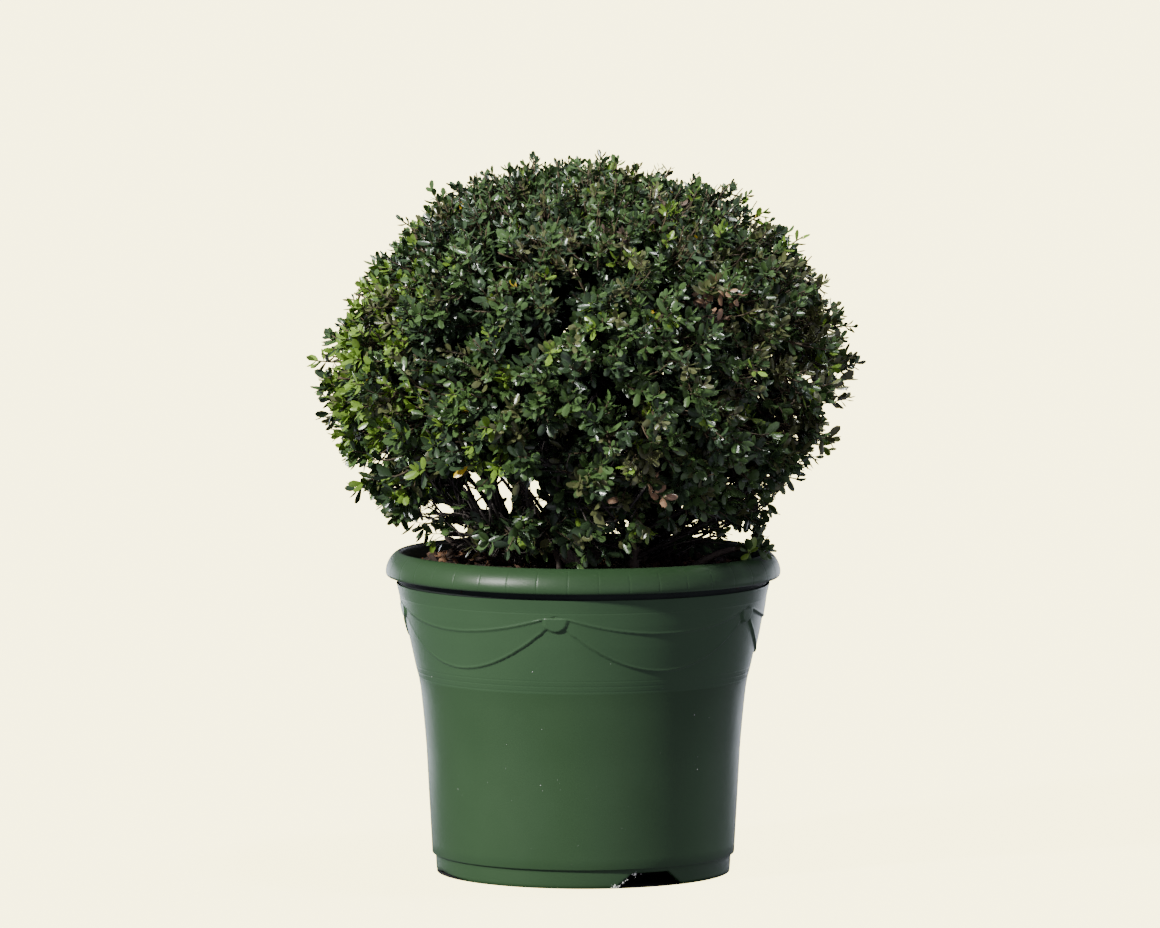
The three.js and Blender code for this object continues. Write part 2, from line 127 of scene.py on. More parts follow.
def spread_directions(count: int, seed: float, loose: float) -> np.ndarray:
    """Spreads directions evenly over the whole crown by the golden angle, each turned a little by its seed.

    Args:
        count: how many directions.
        seed: the seed of their small turns.
        loose: the widest small turn, in radians.

    Returns:
        An array of count unit vectors.
    """
    i = np.arange(count)
    height = 1 - 2 * (i + 0.5) / count
    angle = i * GOLDEN_ANGLE + loose * (seeded(i, seed) - 0.5)
    flat = np.sqrt(1 - height**2)
    return np.stack([np.cos(angle) * flat, np.sin(angle) * flat, height], axis=-1)


def waves(points: np.ndarray, scale: float, seed: float) -> np.ndarray:
    """Gives a smooth uneven field: a third of the sum of six sine waves in seeded directions.

    Args:
        points: positions in millimetres.
        scale: the length of the waves in millimetres.
        seed: the seed of their directions and starts.

    Returns:
        One value for each point.
    """
    total = np.zeros(points.shape[:-1])
    for i in range(6):
        towards = unit(np.array([seeded(i, seed + k) - 0.5 for k in (1, 2, 3)]))
        length = scale * between(i, seed + 4, 0.6, 1.4)
        total += np.sin(points @ towards * (2 * math.pi / length) + TURN * seeded(i, seed + 5))
    return total / 3


def smooth_step(share: np.ndarray) -> np.ndarray:
    """Rises smoothly from 0 to 1 as share does: t^2 (3 - 2 t) on its clipped value."""
    t = np.clip(share, 0, 1)
    return t * t * (3 - 2 * t)


def square_pair(along: np.ndarray, guide: np.ndarray) -> tuple[np.ndarray, np.ndarray]:
    """Gives unit vectors across others, and over both: along x helper, and along x across.

    Args:
        along: the other unit vectors.
        guide: vectors that choose the helper, which is sideways where they stand steeply and up elsewhere.

    Returns:
        The vectors across and the vectors over.
    """
    helper = np.where(np.abs(guide[..., 2:]) < 0.9, UP, ACROSS)
    across = unit(np.cross(along, helper))
    return across, np.cross(along, across)


def square_to(along: np.ndarray, angle: np.ndarray) -> np.ndarray:
    """Gives unit vectors square to others, turned round them by angles in radians."""
    across, over = square_pair(along, along)
    return across * np.cos(angle)[..., None] + over * np.sin(angle)[..., None]


def placed(name: str, data: bpy.types.ID) -> bpy.types.Object:
    """Makes an object and links it to the scene.

    Args:
        name: its name.
        data: its mesh, light or camera.

    Returns:
        The object.
    """
    made = bpy.data.objects.new(name, data)
    bpy.context.scene.collection.objects.link(made)
    return made


def new_material(name: str) -> tuple[bpy.types.Material, bpy.types.Node]:
    """Makes a material.

    Args:
        name: its name.

    Returns:
        The material and its main shader.
    """
    made = bpy.data.materials.new(name)
    made.use_nodes = True
    return made, made.node_tree.nodes["Principled BSDF"]


def grid_faces(rows: int, columns: int, closed: bool) -> np.ndarray:
    """Gives the four-sided faces of a grid whose points run along each row and then from row to row.

    Args:
        rows: how many rows of points.
        columns: how many points in a row.
        closed: whether the last column joins the first.

    Returns:
        Faces that point outwards where columns run to the right and rows run up.
    """
    i, j = np.meshgrid(np.arange(rows - 1), np.arange(columns if closed else columns - 1), indexing="ij")
    here, right = i * columns + j, i * columns + (j + 1) % columns
    return np.stack([here, right, right + columns, here + columns], axis=-1).reshape(-1, 4)


def repeated(points: np.ndarray, *faces: np.ndarray) -> list[np.ndarray]:
    """Repeats the faces of one shape for many like it.

    Args:
        points: the points, in one row for each shape.
        faces: arrays of the first shape's faces.

    Returns:
        The arrays for all the shapes.
    """
    first = (np.arange(points.shape[0]) * points.shape[1])[:, None, None]
    return [(array[None] + first).reshape(-1, array.shape[1]) for array in faces]


class Surface:
    """Gathers points and faces, each with the number of its finish, and makes one piece of them."""

    def __init__(self) -> None:
        """Starts with no points and no faces."""
        self.points: list[np.ndarray] = []
        self.faces: list[np.ndarray] = []
        self.kinds: list[np.ndarray] = []
        self.count = 0

    def add(self, points: np.ndarray, faces: Sequence[np.ndarray], kind: np.ndarray | int = 0) -> Surface:
        """Adds a shape.

        Args:
            points: its points in millimetres.
            faces: arrays of faces of three or four corners, each naming rows of points.
            kind: the number of its finish, or one number for each face of each array.

        Returns:
            This same surface.
        """
        for array in faces:
            self.faces.append(array + self.count)
            self.kinds.append(np.broadcast_to(kind, (len(array),)).astype(np.int32))
        self.points.append(points.reshape(-1, 3))
        self.count += len(self.points[-1])
        return self

    def lid(self, middle: Sequence[float], ring: np.ndarray, up: bool) -> Surface:
        """Closes a ring of points with triangles round its middle.

        Args:
            middle: the point in its middle.
            ring: its points, which run to the right seen from outside.
            up: whether the triangles face up.

        Returns:
            This same surface.
        """
        count = len(ring)
        j, right = np.arange(count) + 1, (np.arange(count) + 1) % count + 1
        fan = np.stack([0 * j, j, right] if up else [0 * j, right, j], axis=-1)
        return self.add(np.concatenate([np.array([middle], float), ring]), [fan])

    def piece(
        self, name: str, finishes: Sequence[bpy.types.Material], nodes: Sequence[str], slot: str
    ) -> None:
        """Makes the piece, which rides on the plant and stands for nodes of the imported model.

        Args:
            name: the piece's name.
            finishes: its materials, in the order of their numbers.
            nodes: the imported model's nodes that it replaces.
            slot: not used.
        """
        mesh = bpy.data.meshes.new(name)
        points = np.concatenate(self.points) * METRES
        sizes = np.concatenate([np.full(len(array), array.shape[1]) for array in self.faces])
        corners = np.concatenate([array.ravel() for array in self.faces])
        mesh.vertices.add(len(points))
        mesh.vertices.foreach_set("co", points.astype(np.float32).ravel())
        mesh.loops.add(len(corners))
        mesh.loops.foreach_set("vertex_index", corners.astype(np.int32))
        mesh.polygons.add(len(sizes))
        starts = np.concatenate([[0], np.cumsum(sizes)[:-1]])
        mesh.polygons.foreach_set("loop_start", starts.astype(np.int32))
        mesh.polygons.foreach_set("material_index", np.concatenate(self.kinds))
        mesh.update(calc_edges=True)
        mesh.polygons.foreach_set("use_smooth", np.ones(len(sizes), bool))
        mesh.validate()
        for finish in finishes:
            mesh.materials.append(finish)
        made = placed(name, mesh)
        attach(made, "root")
        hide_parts(*nodes)
        LOG.info("%s: %d triangles", name, int((sizes - 2).sum()))


class Rows:
    """Arrays with one row for each twig or leaf; the classes made from it name the arrays."""

    mass: np.ndarray

    def __len__(self) -> int:
        """Counts the rows."""
        return len(self.mass)

    def some(self: Kind, chosen: np.ndarray) -> Kind:
        """Gives the chosen rows."""
        return type(self)(*(getattr(self, name)[chosen] for name in self.__dataclass_fields__))

    @classmethod
    def joined(cls: type[Kind], groups: Sequence[Kind]) -> Kind:
        """Puts groups of rows together."""
        names = cls.__dataclass_fields__
        return cls(*(np.concatenate([getattr(group, name) for group in groups]) for name in names))


# Curved limbs and twigs


@dataclass
class Twigs(Rows):
    """Curved limbs or twigs, one in each row: each is a quadratic curve with a round section that tapers."""

    start: np.ndarray
    bend: np.ndarray
    end: np.ndarray
    thick: np.ndarray
    thin: np.ndarray
    mass: np.ndarray

    def at(self, share: np.ndarray | float) -> np.ndarray:
        """Gives the point at a share of each curve: (1-t)^2 start + 2t(1-t) bend + t^2 end."""
        t = np.asarray(share, float)[..., None]
        return (1 - t) ** 2 * self.start + 2 * t * (1 - t) * self.bend + t**2 * self.end

    def along(self, share: np.ndarray | float) -> np.ndarray:
        """Gives the unit direction at a share of each curve, from the curve's slope."""
        t = np.asarray(share, float)[..., None]
        return unit((1 - t) * (self.bend - self.start) + t * (self.end - self.bend))


def tubes(
    twigs: Twigs, sides: int, steps: int, relief: float = 0.0, flare: float = 0.0
) -> tuple[np.ndarray, list[np.ndarray]]:
    """Carries a round section along each curve and closes it with a point at each end.

    Each ring is centre + radius (cos a across + sin a over), with the radius between thick and thin.

    Args:
        twigs: the curves.
        sides: corners of the section.
        steps: stretches along each curve.
        relief: how far bark ridges stand out, as a share of the radius.
        flare: how much wider the foot is, as a share of the radius; it dies away as exp(-5 share).

    Returns:
        The points and the arrays of faces.
    """
    share = np.linspace(0, 1, steps + 1)
    count, rings = len(twigs), steps + 1
    centre = np.stack([twigs.at(t) for t in share], axis=1)
    along = np.stack([twigs.along(t) for t in share], axis=1)
    across, over = square_pair(along, along[:, :1])
    radius = twigs.thick[:, None] + (twigs.thin - twigs.thick)[:, None] * share**0.8
    radius = radius * (1 + flare * np.exp(-5 * share))
    angle = np.arange(sides) * 2 * math.pi / sides
    spoke = np.cos(angle)[:, None] * across[:, :, None] + np.sin(angle)[:, None] * over[:, :, None]
    if relief:
        ring = centre[:, :, None] + spoke * radius[:, :, None, None]
        stretched = ring * np.array([1.0, 1.0, 0.3])
        rough = 0.6 * waves(stretched, 7, 11) + 0.4 * waves(ring, 16, 12)
        radius = radius[:, :, None] * (1 + relief * rough)
    else:
        radius = radius[:, :, None]
    ring = centre[:, :, None] + spoke * radius[..., None]
    tip = centre[:, -1:] + along[:, -1:] * twigs.thin[:, None, None] * 0.6
    points = np.concatenate([ring.reshape(count, -1, 3), centre[:, :1], tip], axis=1)
    first, last = rings * sides, steps * sides
    j, right = np.arange(sides), (np.arange(sides) + 1) % sides
    foot = np.stack([np.full(sides, first), right, j], axis=-1)
    cap = np.stack([np.full(sides, first + 1), last + j, last + right], axis=-1)
    return points, repeated(points, grid_faces(rings, sides, True), foot, cap)


# The clipped crown, by the same rule as the solids


@dataclass(frozen=True)
class Mass:
    """One mass of foliage: where its middle is, and for a lower mass its underside, stem foot and entry."""

    name: str
    turn: float
    above: float
    underside: float | None = None
    foot: Pair | None = None
    entry: Pair | None = None


MASSES = (
    Mass("top", 0, 90),
    Mass("upper_front_left", -50, 34),
    Mass("upper_front_right", 40, 34),
    Mass("upper_back_right", 130, 34),
    Mass("upper_back_left", 220, 34),
    Mass("lower_left", -92, -24, -38, (-76, -30), (-80, -42)),
    Mass("lower_front", -25, -24, -27, (8, -72), (-33, -31)),
    Mass("lower_front_right", 45, -24, -42, (56, -54), (44, -46)),
    Mass("lower_back_right", 115, -24, -42, (68, 32), (115, -46)),
    Mass("lower_back_left", 190, -24, -30, (-14, 72), (190, -34)),
)
LOW_SPRAYS = ("low_branch", "front_shoot")
MASS_NAMES = tuple(mass.name for mass in MASSES) + LOW_SPRAYS


@dataclass(frozen=True)
class Outline:
    """The clipped outline: an ellipsoid with swellings and hollows, each (turn, above, half width, share)."""

    centre: Triple = (0, 0, 575)
    side: float = 300
    up: float = 238
    down: float = 252
    swellings: Table = (
        (-90, 27, 24, -0.075),
        (90, -16, 14, -0.08),
        (90, 60, 9, -0.04),
        (25, 18, 26, 0.02),
        (150, 8, 30, -0.025),
    )

    def reach(self, towards: np.ndarray) -> np.ndarray:
        """Gives how far the outline lies from the centre: 1 / |(x, y)/side, z/rise|, times its swellings.

        Args:
            towards: unit vectors from the centre.

        Returns:
            One distance for each direction.
        """
        rise = np.where(towards[..., 2] > 0, self.up, self.down)
        flat = np.hypot(towards[..., 0], towards[..., 1]) / self.side
        reach = 1 / np.hypot(flat, towards[..., 2] / rise)
        return reach * (1 + bumps(towards, self.swellings))

    def within(self, towards: np.ndarray, share: np.ndarray | float) -> np.ndarray:
        """Gives the points at shares of the way from the centre to the outline."""
        return np.array(self.centre) + towards * (self.reach(towards) * share)[..., None]

    def towards(self, points: np.ndarray) -> np.ndarray:
        """Gives the unit vectors from the centre to points."""
        return unit(points - np.array(self.centre))


def bumps(towards: np.ndarray, table: Sequence[Sequence[float]]) -> np.ndarray:
    """Adds up round bumps over the crown: height exp(-(angle / width)^2) for each.

    Args:
        towards: unit vectors from the crown's centre.
        table: rows of turn, above, half width in degrees, and height.

    Returns:
        One sum for each direction.
    """
    total = np.zeros(towards.shape[:-1])
    for turn, above, width, height in table:
        apart = np.degrees(np.arccos(np.clip(towards @ direction(turn, above), -1, 1)))
        total += height * np.exp(-((apart / width) ** 2))
    return total


@dataclass(frozen=True)
class Section:
    """How finely a twig is made: corners round it, stretches along it, and the number of its finish."""

    sides: int
    steps: int
    kind: int = 0


@dataclass(frozen=True)
class Level:
    """One level of forks: how many on the whole crown, their share of the reach, and their twigs."""

    count: int
    seed: float
    loose: float
    share: float
    thick: float
    thin: float
    section: Section


@dataclass(frozen=True)
class LeafSet:
    """How a kind of twig is leafed: leaves on each, the bare share of its foot, their size and their seed."""

    count: int
    bare: float
    size: float
    seed: float


class Tone(IntEnum):
    """The leaf colours, dealt out by shoot."""

    DEEP = 0
    MID = 1
    FRESH = 2
    YELLOW = 3
    BRONZE = 4
    OLIVE = 5
    DRY = 6


@dataclass(frozen=True)
class SkyGaps:
    """Openings through the foliage where sky shows between the stems, along lines from a point in front.

    Places are in millimetres across and up, on the upright plane through the pot's axis. An opening is an
    ellipse there: middle, half width, half height and lean in degrees. A field holds openings spread by
    chance: left, right, low, high, how many, smallest and largest half size. A window shows a pale limb: it
    is an opening for leaves only, and only for those nearer to the front than its last number.
    """

    eye: Triple = (-2, -10000, 1340)
    openings: Table = (
        (-126, 451, 4, 12, -35),
        (-127, 435, 9, 4, 20),
        (-114, 419, 6, 8, -40),
        (-90, 437, 7, 15, -25),
        (-87, 411, 5, 8, -25),
        (-57, 438, 4, 9, 0),
        (-49, 413, 4, 8, 0),
        (-157, 415, 8, 6, 0),
        (-139, 393, 7, 4, 0),
        (81, 411, 5, 9, 20),
        (109, 413, 4, 9, 25),
        (75, 399, 8, 4, 0),
        (124, 400, 3, 5, 0),
        (135, 385, 4, 5, 0),
        (45, 479, 3, 3, 0),
        (53, 486, 3, 3, 0),
        (90, 469, 4, 3, 0),
        (87, 457, 5, 3, 0),
        (57, 435, 5, 4, 0),
        (10, 479, 3, 3, 0),
        (168, 449, 8, 12, -15),
        (185, 571, 3, 4, 0),
        (233, 561, 3, 4, 0),
        (254, 562, 5, 5, 0),
    )
    fields: Table = (
        (176, 282, 492, 574, 30, 1, 3),
        (160, 240, 396, 470, 20, 1, 4),
        (100, 180, 376, 420, 12, 1, 2.5),
        (-185, -125, 378, 428, 7, 1.5, 4),
        (-250, -200, 430, 480, 5, 2, 5),
        (-70, 60, 440, 500, 5, 1, 2.5),
    )
    windows: Table = (
        (-65, 430, 29, 5, 64, -70),
        (-150, 372, 20, 5, 40, 55),
    )
    lean: float = 50
    window_margin: float = 2
    twig_margin: float = 0.5
    twig_smallest: float = 9

    def ellipses(self) -> np.ndarray:
        """Gives all openings, those set and those spread by chance.

        Returns:
            One row of middle, half sizes and lean for each.
        """
        rows = [np.array(self.openings)]
        for number, (left, right, low, high, count, small, large) in enumerate(self.fields):
            n = np.arange(count) + 100 * number
            columns = [between(n, 301, left, right), between(n, 302, low, high)]
            columns += [between(n, k, small, large) for k in (303, 304)]
            rows.append(np.stack([*columns, between(n, 305, -self.lean, self.lean)], axis=-1))
        return np.concatenate(rows)

    def cover(
        self,
        points: np.ndarray,
        margin: np.ndarray | float,
        smallest: float = 0,
        rows: Sequence[Sequence[float]] | None = None,
    ) -> np.ndarray:
        """Says which points lie in an opening or within a margin of its edge.

        A point is carried from the eye to the plane: eye + (point - eye) eye_y / (eye_y - y). It lies in an
        ellipse where (u / half width)^2 + (v / half height)^2 < 1 on the ellipse's own axes.

        Args:
            points: the points.
            margin: added to each half size, in millimetres.
            smallest: openings with less half height and half width together than this are passed over.
            rows: the openings to look at, all of them when left out.

        Returns:
            True for the points inside.
        """
        eye = np.array(self.eye)
        away = points - eye
        seen = eye + away * (-eye[1] / away[..., 1])[..., None]
        inside = np.zeros(points.shape[:-1], bool)
        for across, up, wide, tall, lean in self.ellipses() if rows is None else rows:
            if wide + tall < smallest:
                continue
            turn = math.radians(lean)
            x, z = seen[..., 0] - across, seen[..., 2] - up
            u, v = x * math.cos(turn) - z * math.sin(turn), x * math.sin(turn) + z * math.cos(turn)
            inside |= (u / (wide + margin)) ** 2 + (v / (tall + margin)) ** 2 < 1
        return inside

    def shut(self, points: np.ndarray, margin: np.ndarray) -> np.ndarray:
        """Says where no leaf may be: in an opening, and in front of a pale limb in its window.

        Args:
            points: the middles of the leaves.
            margin: how far each leaf reaches, in millimetres.

        Returns:
            True for the points where a leaf is left out.
        """
        shut = self.cover(points, margin)
        for *window, front in self.windows:
            in_window = self.cover(points, self.window_margin, rows=[window])
            shut |= in_window & (points[..., 1] < front)
        return shut

    def clear(self, twigs: Twigs) -> np.ndarray:
        """Says which twigs keep out of the larger openings, looking at five points of each."""
        places = [twigs.at(share) for share in (0.2, 0.4, 0.6, 0.8, 1.0)]
        return ~self.cover(np.stack(places, axis=1), self.twig_margin, self.twig_smallest).any(axis=1)


@dataclass
class Crown:
    """The foliage: forked twigs out of each limb's tip, and shoots with leaves to the clipped outline.

    Hollows and the patches of fresh, bronze, olive and dry leaves are rows of turn, above, half width in
    degrees, and amount. The olive patches on the right flank and the low front lighten the leaves where the
    crown lies in shade: painted light; the one at the left is a browner tone. A sprig is a turn, above, and a
    share of the outline that is more than one.
    """

    outline: Outline = field(default_factory=Outline)
    gaps: SkyGaps = field(default_factory=SkyGaps)
    upper_reach: float = 0.42
    lower_reach: float = 0.6
    lower_hub: float = -12
    hub_share: float = 0.64
    levels: tuple[Level, ...] = (
        Level(60, 2, 0.4, 0.64, 4.0, 2.7, Section(5, 4)),
        Level(300, 3, 0.2, 0.765, 2.5, 1.8, Section(4, 3)),
        Level(1250, 4, 0.1, 0.87, 1.6, 1.1, Section(3, 2)),
    )
    lumps: float = 0.05
    shoots_each: int = 5
    shoot_reach: float = 0.975
    shoot_ragged: float = 0.05
    shoot_spread: float = 0.058
    shoot_radii: Pair = (1.6, 0.8)
    long_shoots: float = 0.1
    long_by: float = 0.045
    clump: float = 0.125
    clump_dome: float = 0.075
    thinned: float = 0.74
    thinned_back: float = 0.2
    void_size: float = 70
    void_level: float = 0.42
    void_level_back: float = 2.0
    hollows: Table = (
        (26, 31, 5, -0.16),
        (-4, -12, 5, -0.12),
        (52, -8, 6, -0.14),
        (12, 4, 5, -0.1),
        (-3, 20, 6, -0.16),
        (-11, 48, 5, -0.14),
        (4, 28, 4, -0.12),
        (56, 26, 5, -0.1),
        (28, 20, 4, -0.12),
        (36, 6, 5, -0.1),
        (-18, 27, 4, -0.12),
        (-32, 16, 5, -0.1),
        (-28, 4, 5, -0.12),
        (-50, 30, 5, -0.1),
        (35, 62, 5, -0.16),
        (-40, 60, 5, -0.14),
        (10, 54, 4, -0.16),
        (-24, 68, 5, -0.16),
        (52, 48, 4, -0.14),
        (-62, 48, 4, -0.12),
        (15, 76, 5, -0.16),
        (68, 62, 4, -0.14),
        (-30, 46, 4, -0.12),
        (-95, 8, 12, 0.06),
        (-90, 55, 12, 0.06),
        (94, -4, 12, 0.035),
        (55, -42, 14, -0.12),
        (15, -48, 12, -0.06),
        (90, 52, 9, 0.05),
        (90, 38, 8, 0.02),
        (92, 18, 12, 0.04),
    )
    sprigs: Table = (
        (-90, 74, 1.05),
        (-30, 86, 1.03),
        (98, 8, 1.1),
        (90, 50, 1.08),
        (-90, 55, 1.05),
        (96, -7, 1.11),
        (96, -19, 1.12),
        (-92, -3, 1.04),
        (-120, 20, 1.03),
        (20, 30, 1.03),
        (200, 12, 1.03),
    )
    fresh_share: float = 0.04
    fresh: Table = (
        (-80, 8, 26, 0.62),
        (-60, -14, 22, 0.4),
        (-5, 22, 8, 0.1),
        (38, 46, 4.5, 0.7),
        (13, 35, 3.5, 0.6),
        (0, 66, 7, 0.35),
        (14, 16, 7, 0.12),
        (35, -6, 12, 0.05),
        (180, 25, 40, 0.2),
    )
    bronze: Table = (
        (-12, 31, 5, 0.3),
        (38, 17, 3.5, 0.5),
        (-20, 50, 12, 0.04),
        (20, 55, 16, 0.03),
    )
    # The first two olive patches lighten the shaded right flank and low front: painted light. The third is a
    # browner tone at the left.
    olive: Table = (
        (72, 4, 32, 0.42),
        (15, -30, 18, 0.25),
        (-72, 2, 22, 0.3),
    )
    dry: Table = (
        (38, 19, 3.5, 0.8),
        (17, -29, 4, 0.45),
    )
    tone_steps: Pair = (0.45, 0.9)
    fresh_from: float = 0.3
    deep_size: float = 1.05
    shoot_leaves: LeafSet = LeafSet(9, 0.3, 1.0, 41)
    fork_leaves: tuple[LeafSet, ...] = (
        LeafSet(14, 0.05, 1.0, 51),
        LeafSet(36, 0.1, 1.1, 55),
        LeafSet(80, 0.1, 1.25, 57),
    )
    wood_leaves: LeafSet = LeafSet(340, 0.35, 1.7, 59)
    curtain_leaves: LeafSet = LeafSet(60, 0.0, 2.2, 63)
    curtain_front: float = -40
    sprig_leaves: LeafSet = LeafSet(12, 0.25, 0.95, 61)
    sprig_room: float = 12
    stem_radii: Pair = (4.6, 2.8)
    stem_section: Section = Section(8, 6)
    shoot_section: Section = Section(3, 3)
    sprig_section: Section = Section(4, 4)
    spray_section: Section = Section(4, 3)
    fork_ragged: float = 5
    leaf_turn: float = 144
    leaf_lean: Pair = (62, 40)
    leaf_length: Pair = (12, 19)
    leaf_by_height: Pair = (1.02, 0.25)
    bare_foot: float = 0.45
    bare_shoots: float = 0.16
    yellow_share: float = 0.0012
    leaf_width: float = 0.48

    def middles(self) -> np.ndarray:
        """Gives the direction of each mass's middle."""
        return np.stack([direction(mass.turn, mass.above) for mass in MASSES])

    def entry(self, mass: Mass) -> np.ndarray:
        """Gives the point where a mass's limb ends.

        Args:
            mass: the mass.

        Returns:
            The point.
        """
        if mass.entry is None:
            return self.outline.within(direction(mass.turn, mass.above), self.upper_reach)
        return self.outline.within(direction(*mass.entry), self.lower_reach)

    def hub(self, mass: Mass) -> np.ndarray:
        """Gives the point that a mass's stem grows towards."""
        above = mass.above if mass.entry is None else self.lower_hub
        return self.outline.within(direction(mass.turn, above), self.hub_share)

    def mass_of(self, towards: np.ndarray) -> np.ndarray:
        """Gives the number of the mass whose middle is nearest each direction."""
        return np.argmax(towards @ self.middles().T, axis=-1)

    def grows(self, towards: np.ndarray, seed: float, ragged: float) -> np.ndarray:
        """Says which directions lie above the underside of their mass.

        Args:
            towards: unit vectors from the crown's centre.
            seed: the seed of the ragged edge.
            ragged: half the width of the ragged edge in degrees.

        Returns:
            True where foliage grows.
        """
        undersides = np.array([-90.0 if mass.underside is None else mass.underside for mass in MASSES])
        above = np.degrees(np.arcsin(np.clip(towards[..., 2], -1, 1)))
        edge = undersides[self.mass_of(towards)] + ragged * (2 * seeded(np.arange(len(towards)), seed) - 1)
        return above > edge

    def forks(self) -> list[Twigs]:
        """Grows the twigs level by level, each from the nearest fork of the level inside it.

        Returns:
            The twigs of each level.
        """
        stems = self.mass_stems()
        leaving = unit(stems.end - stems.start)
        grown: list[Twigs] = []
        inner_lump = np.zeros(len(MASSES))
        for number, level in enumerate(self.levels):
            towards = spread_directions(level.count, level.seed, level.loose)
            towards = towards[self.grows(towards, level.seed + 0.5, self.fork_ragged)]
            mass = self.mass_of(towards)
            index = np.arange(len(towards))
            if number == 0:
                near = mass
                seat = between(index, level.seed + 0.7, 0.0, 0.75)[:, None]
                start = stems.start[mass] * (1 - seat) + stems.end[mass] * seat
                out = leaving[mass]
            else:
                before = grown[-1]
                closeness = towards @ self.outline.towards(before.end).T
                closeness -= 2.0 * (mass[:, None] != before.mass[None, :])
                near = np.argmax(closeness, axis=1)
                seat = between(index, level.seed + 0.7, 0.7, 1.0)
                each = before.some(near)
                start, out = each.at(seat), each.along(seat)
            own_lump = self.lumps / (number + 1) * (seeded(index, level.seed + 0.2) - 0.5)
            lump = inner_lump[near] * 0.8 + own_lump
            end = self.outline.within(towards, level.share + lump + bumps(towards, self.hollows))
            span = spans(start, end)
            bend = start + out * span * 0.45 + shaken(index, level.seed) * span * 0.2
            size = between(index, level.seed + 0.9, 0.8, 1.15)
            grown.append(Twigs(start, bend, end, level.thick * size, level.thin * size, mass))
            inner_lump = lump
        return grown

    def shoots(self, grown: Sequence[Twigs]) -> Twigs:
        """Grows the leafy shoots, a few round each outer fork, in domed clumps with dark voids between them.

        A shoot at angle a from its clump's middle reaches share - dome (a / clump)^2 of the outline. Shoots
        are left out more often towards the edge of a clump, and wherever a slow uneven field is high.

        Args:
            grown: the levels of forks.

        Returns:
            The shoots.
        """
        forks = grown[-1]
        rows = np.repeat(np.arange(len(forks)), self.shoots_each)
        n = np.arange(len(rows))
        parent = self.outline.towards(forks.end)[rows]
        apart = self.shoot_spread * np.sqrt(seeded(n, 91))
        towards = unit(parent + square_to(parent, TURN * seeded(n, 92)) * apart[:, None])
        middles = self.outline.towards(grown[1].end)
        edge = np.arccos(np.clip(np.max(towards @ middles.T, axis=1), -1, 1)) / self.clump
        share = self.shoot_reach - self.clump_dome * np.minimum(edge, 1.3) ** 2
        share = share + self.shoot_ragged * (seeded(n, 93) - 0.5) + bumps(towards, self.hollows)
        share = share + self.long_by * (seeded(n, 90) < self.long_shoots)
        behind = towards[:, 1] > 0.2
        thinned = np.where(behind, self.thinned_back, self.thinned)
        kept = seeded(n, 94) > thinned * np.clip(edge, 0, 1.1) ** 3
        level = np.where(behind, self.void_level_back, self.void_level)
        kept &= waves(self.outline.within(towards, 1), self.void_size, 95) < level
        rows, towards, share, n = rows[kept], towards[kept], share[kept], n[kept]
        each = forks.some(rows)
        seat = between(n, 96, 0.55, 1.0)
        start, end = each.at(seat), self.outline.within(towards, share)
        span = spans(start, end)
        bend = (start + end) / 2 - UP * span * 0.16 + shaken(n, 97) * span * 0.25
        size = between(n, 98, 0.8, 1.2)
        thick, thin = (radius * size for radius in self.shoot_radii)
        shoots = Twigs(start, bend, end, thick, thin, each.mass)
        return shoots.some(self.gaps.clear(shoots))

    def sprig_twigs(self, forks: Twigs) -> Twigs:
        """Grows the shoots that stand out of the outline, from the nearest outer forks.

        Args:
            forks: the outermost forks.

        Returns:
            The sprigs.
        """
        turn, above, share = (np.array(column) for column in zip(*self.sprigs))
        towards = direction(turn, above)
        near = np.argmax(towards @ self.outline.towards(forks.end).T, axis=1)
        start, out = forks.end[near], forks.along(1)[near]
        end = self.outline.within(towards, share - self.sprig_room / self.outline.reach(towards))
        bend = start + out * spans(start, end) * 0.4
        count = len(turn)
        return Twigs(start, bend, end, np.full(count, 1.1), np.full(count, 0.6), forks.mass[near])

    def mass_stems(self) -> Twigs:
        """Gives the stem of each mass, straight from its limb's tip to its hub.

        Returns:
            One stem for each mass.
        """
        entries = np.stack([self.entry(mass) for mass in MASSES])
        hubs = np.stack([self.hub(mass) for mass in MASSES])
        count = len(MASSES)
        thick, thin = (np.full(count, radius) for radius in self.stem_radii)
        return Twigs(entries, (entries + hubs) / 2, hubs, thick, thin, np.arange(count))

    def inner_wood(self) -> Twigs:
        """Gives the wood that carries the innermost leaves.

        Returns:
            The boughs and the stems of the masses.
        """
        curves = Limbs(self).curves()
        boughs = [(n, curves[f"bough_{mass.name}"]) for n, mass in enumerate(MASSES) if mass.foot is None]
        numbered = [replace(curve, mass=np.full(1, n)) for n, curve in boughs]
        return Twigs.joined([*numbered, self.mass_stems()])

    def tones(self, shoots: Twigs, rows: np.ndarray, order: np.ndarray, inner: bool) -> np.ndarray:
        """Deals a leaf colour to each shoot; on a fresh shoot the inner leaves keep the older green.

        Args:
            shoots: the shoots.
            rows: the shoot of each leaf.
            order: how far out on its shoot each leaf sits, from 0 to 1.
            inner: whether the leaves sit deep inside, where all keep the oldest green.

        Returns:
            One Tone number for each leaf.
        """
        towards = self.outline.towards(shoots.end)
        index = np.arange(len(shoots))
        fresh = seeded(index, 31) < self.fresh_share + bumps(towards, self.fresh)
        dead = seeded(index, 32) < bumps(towards, self.bronze)
        plain = np.array([Tone.DEEP, Tone.MID, Tone.OLIVE])
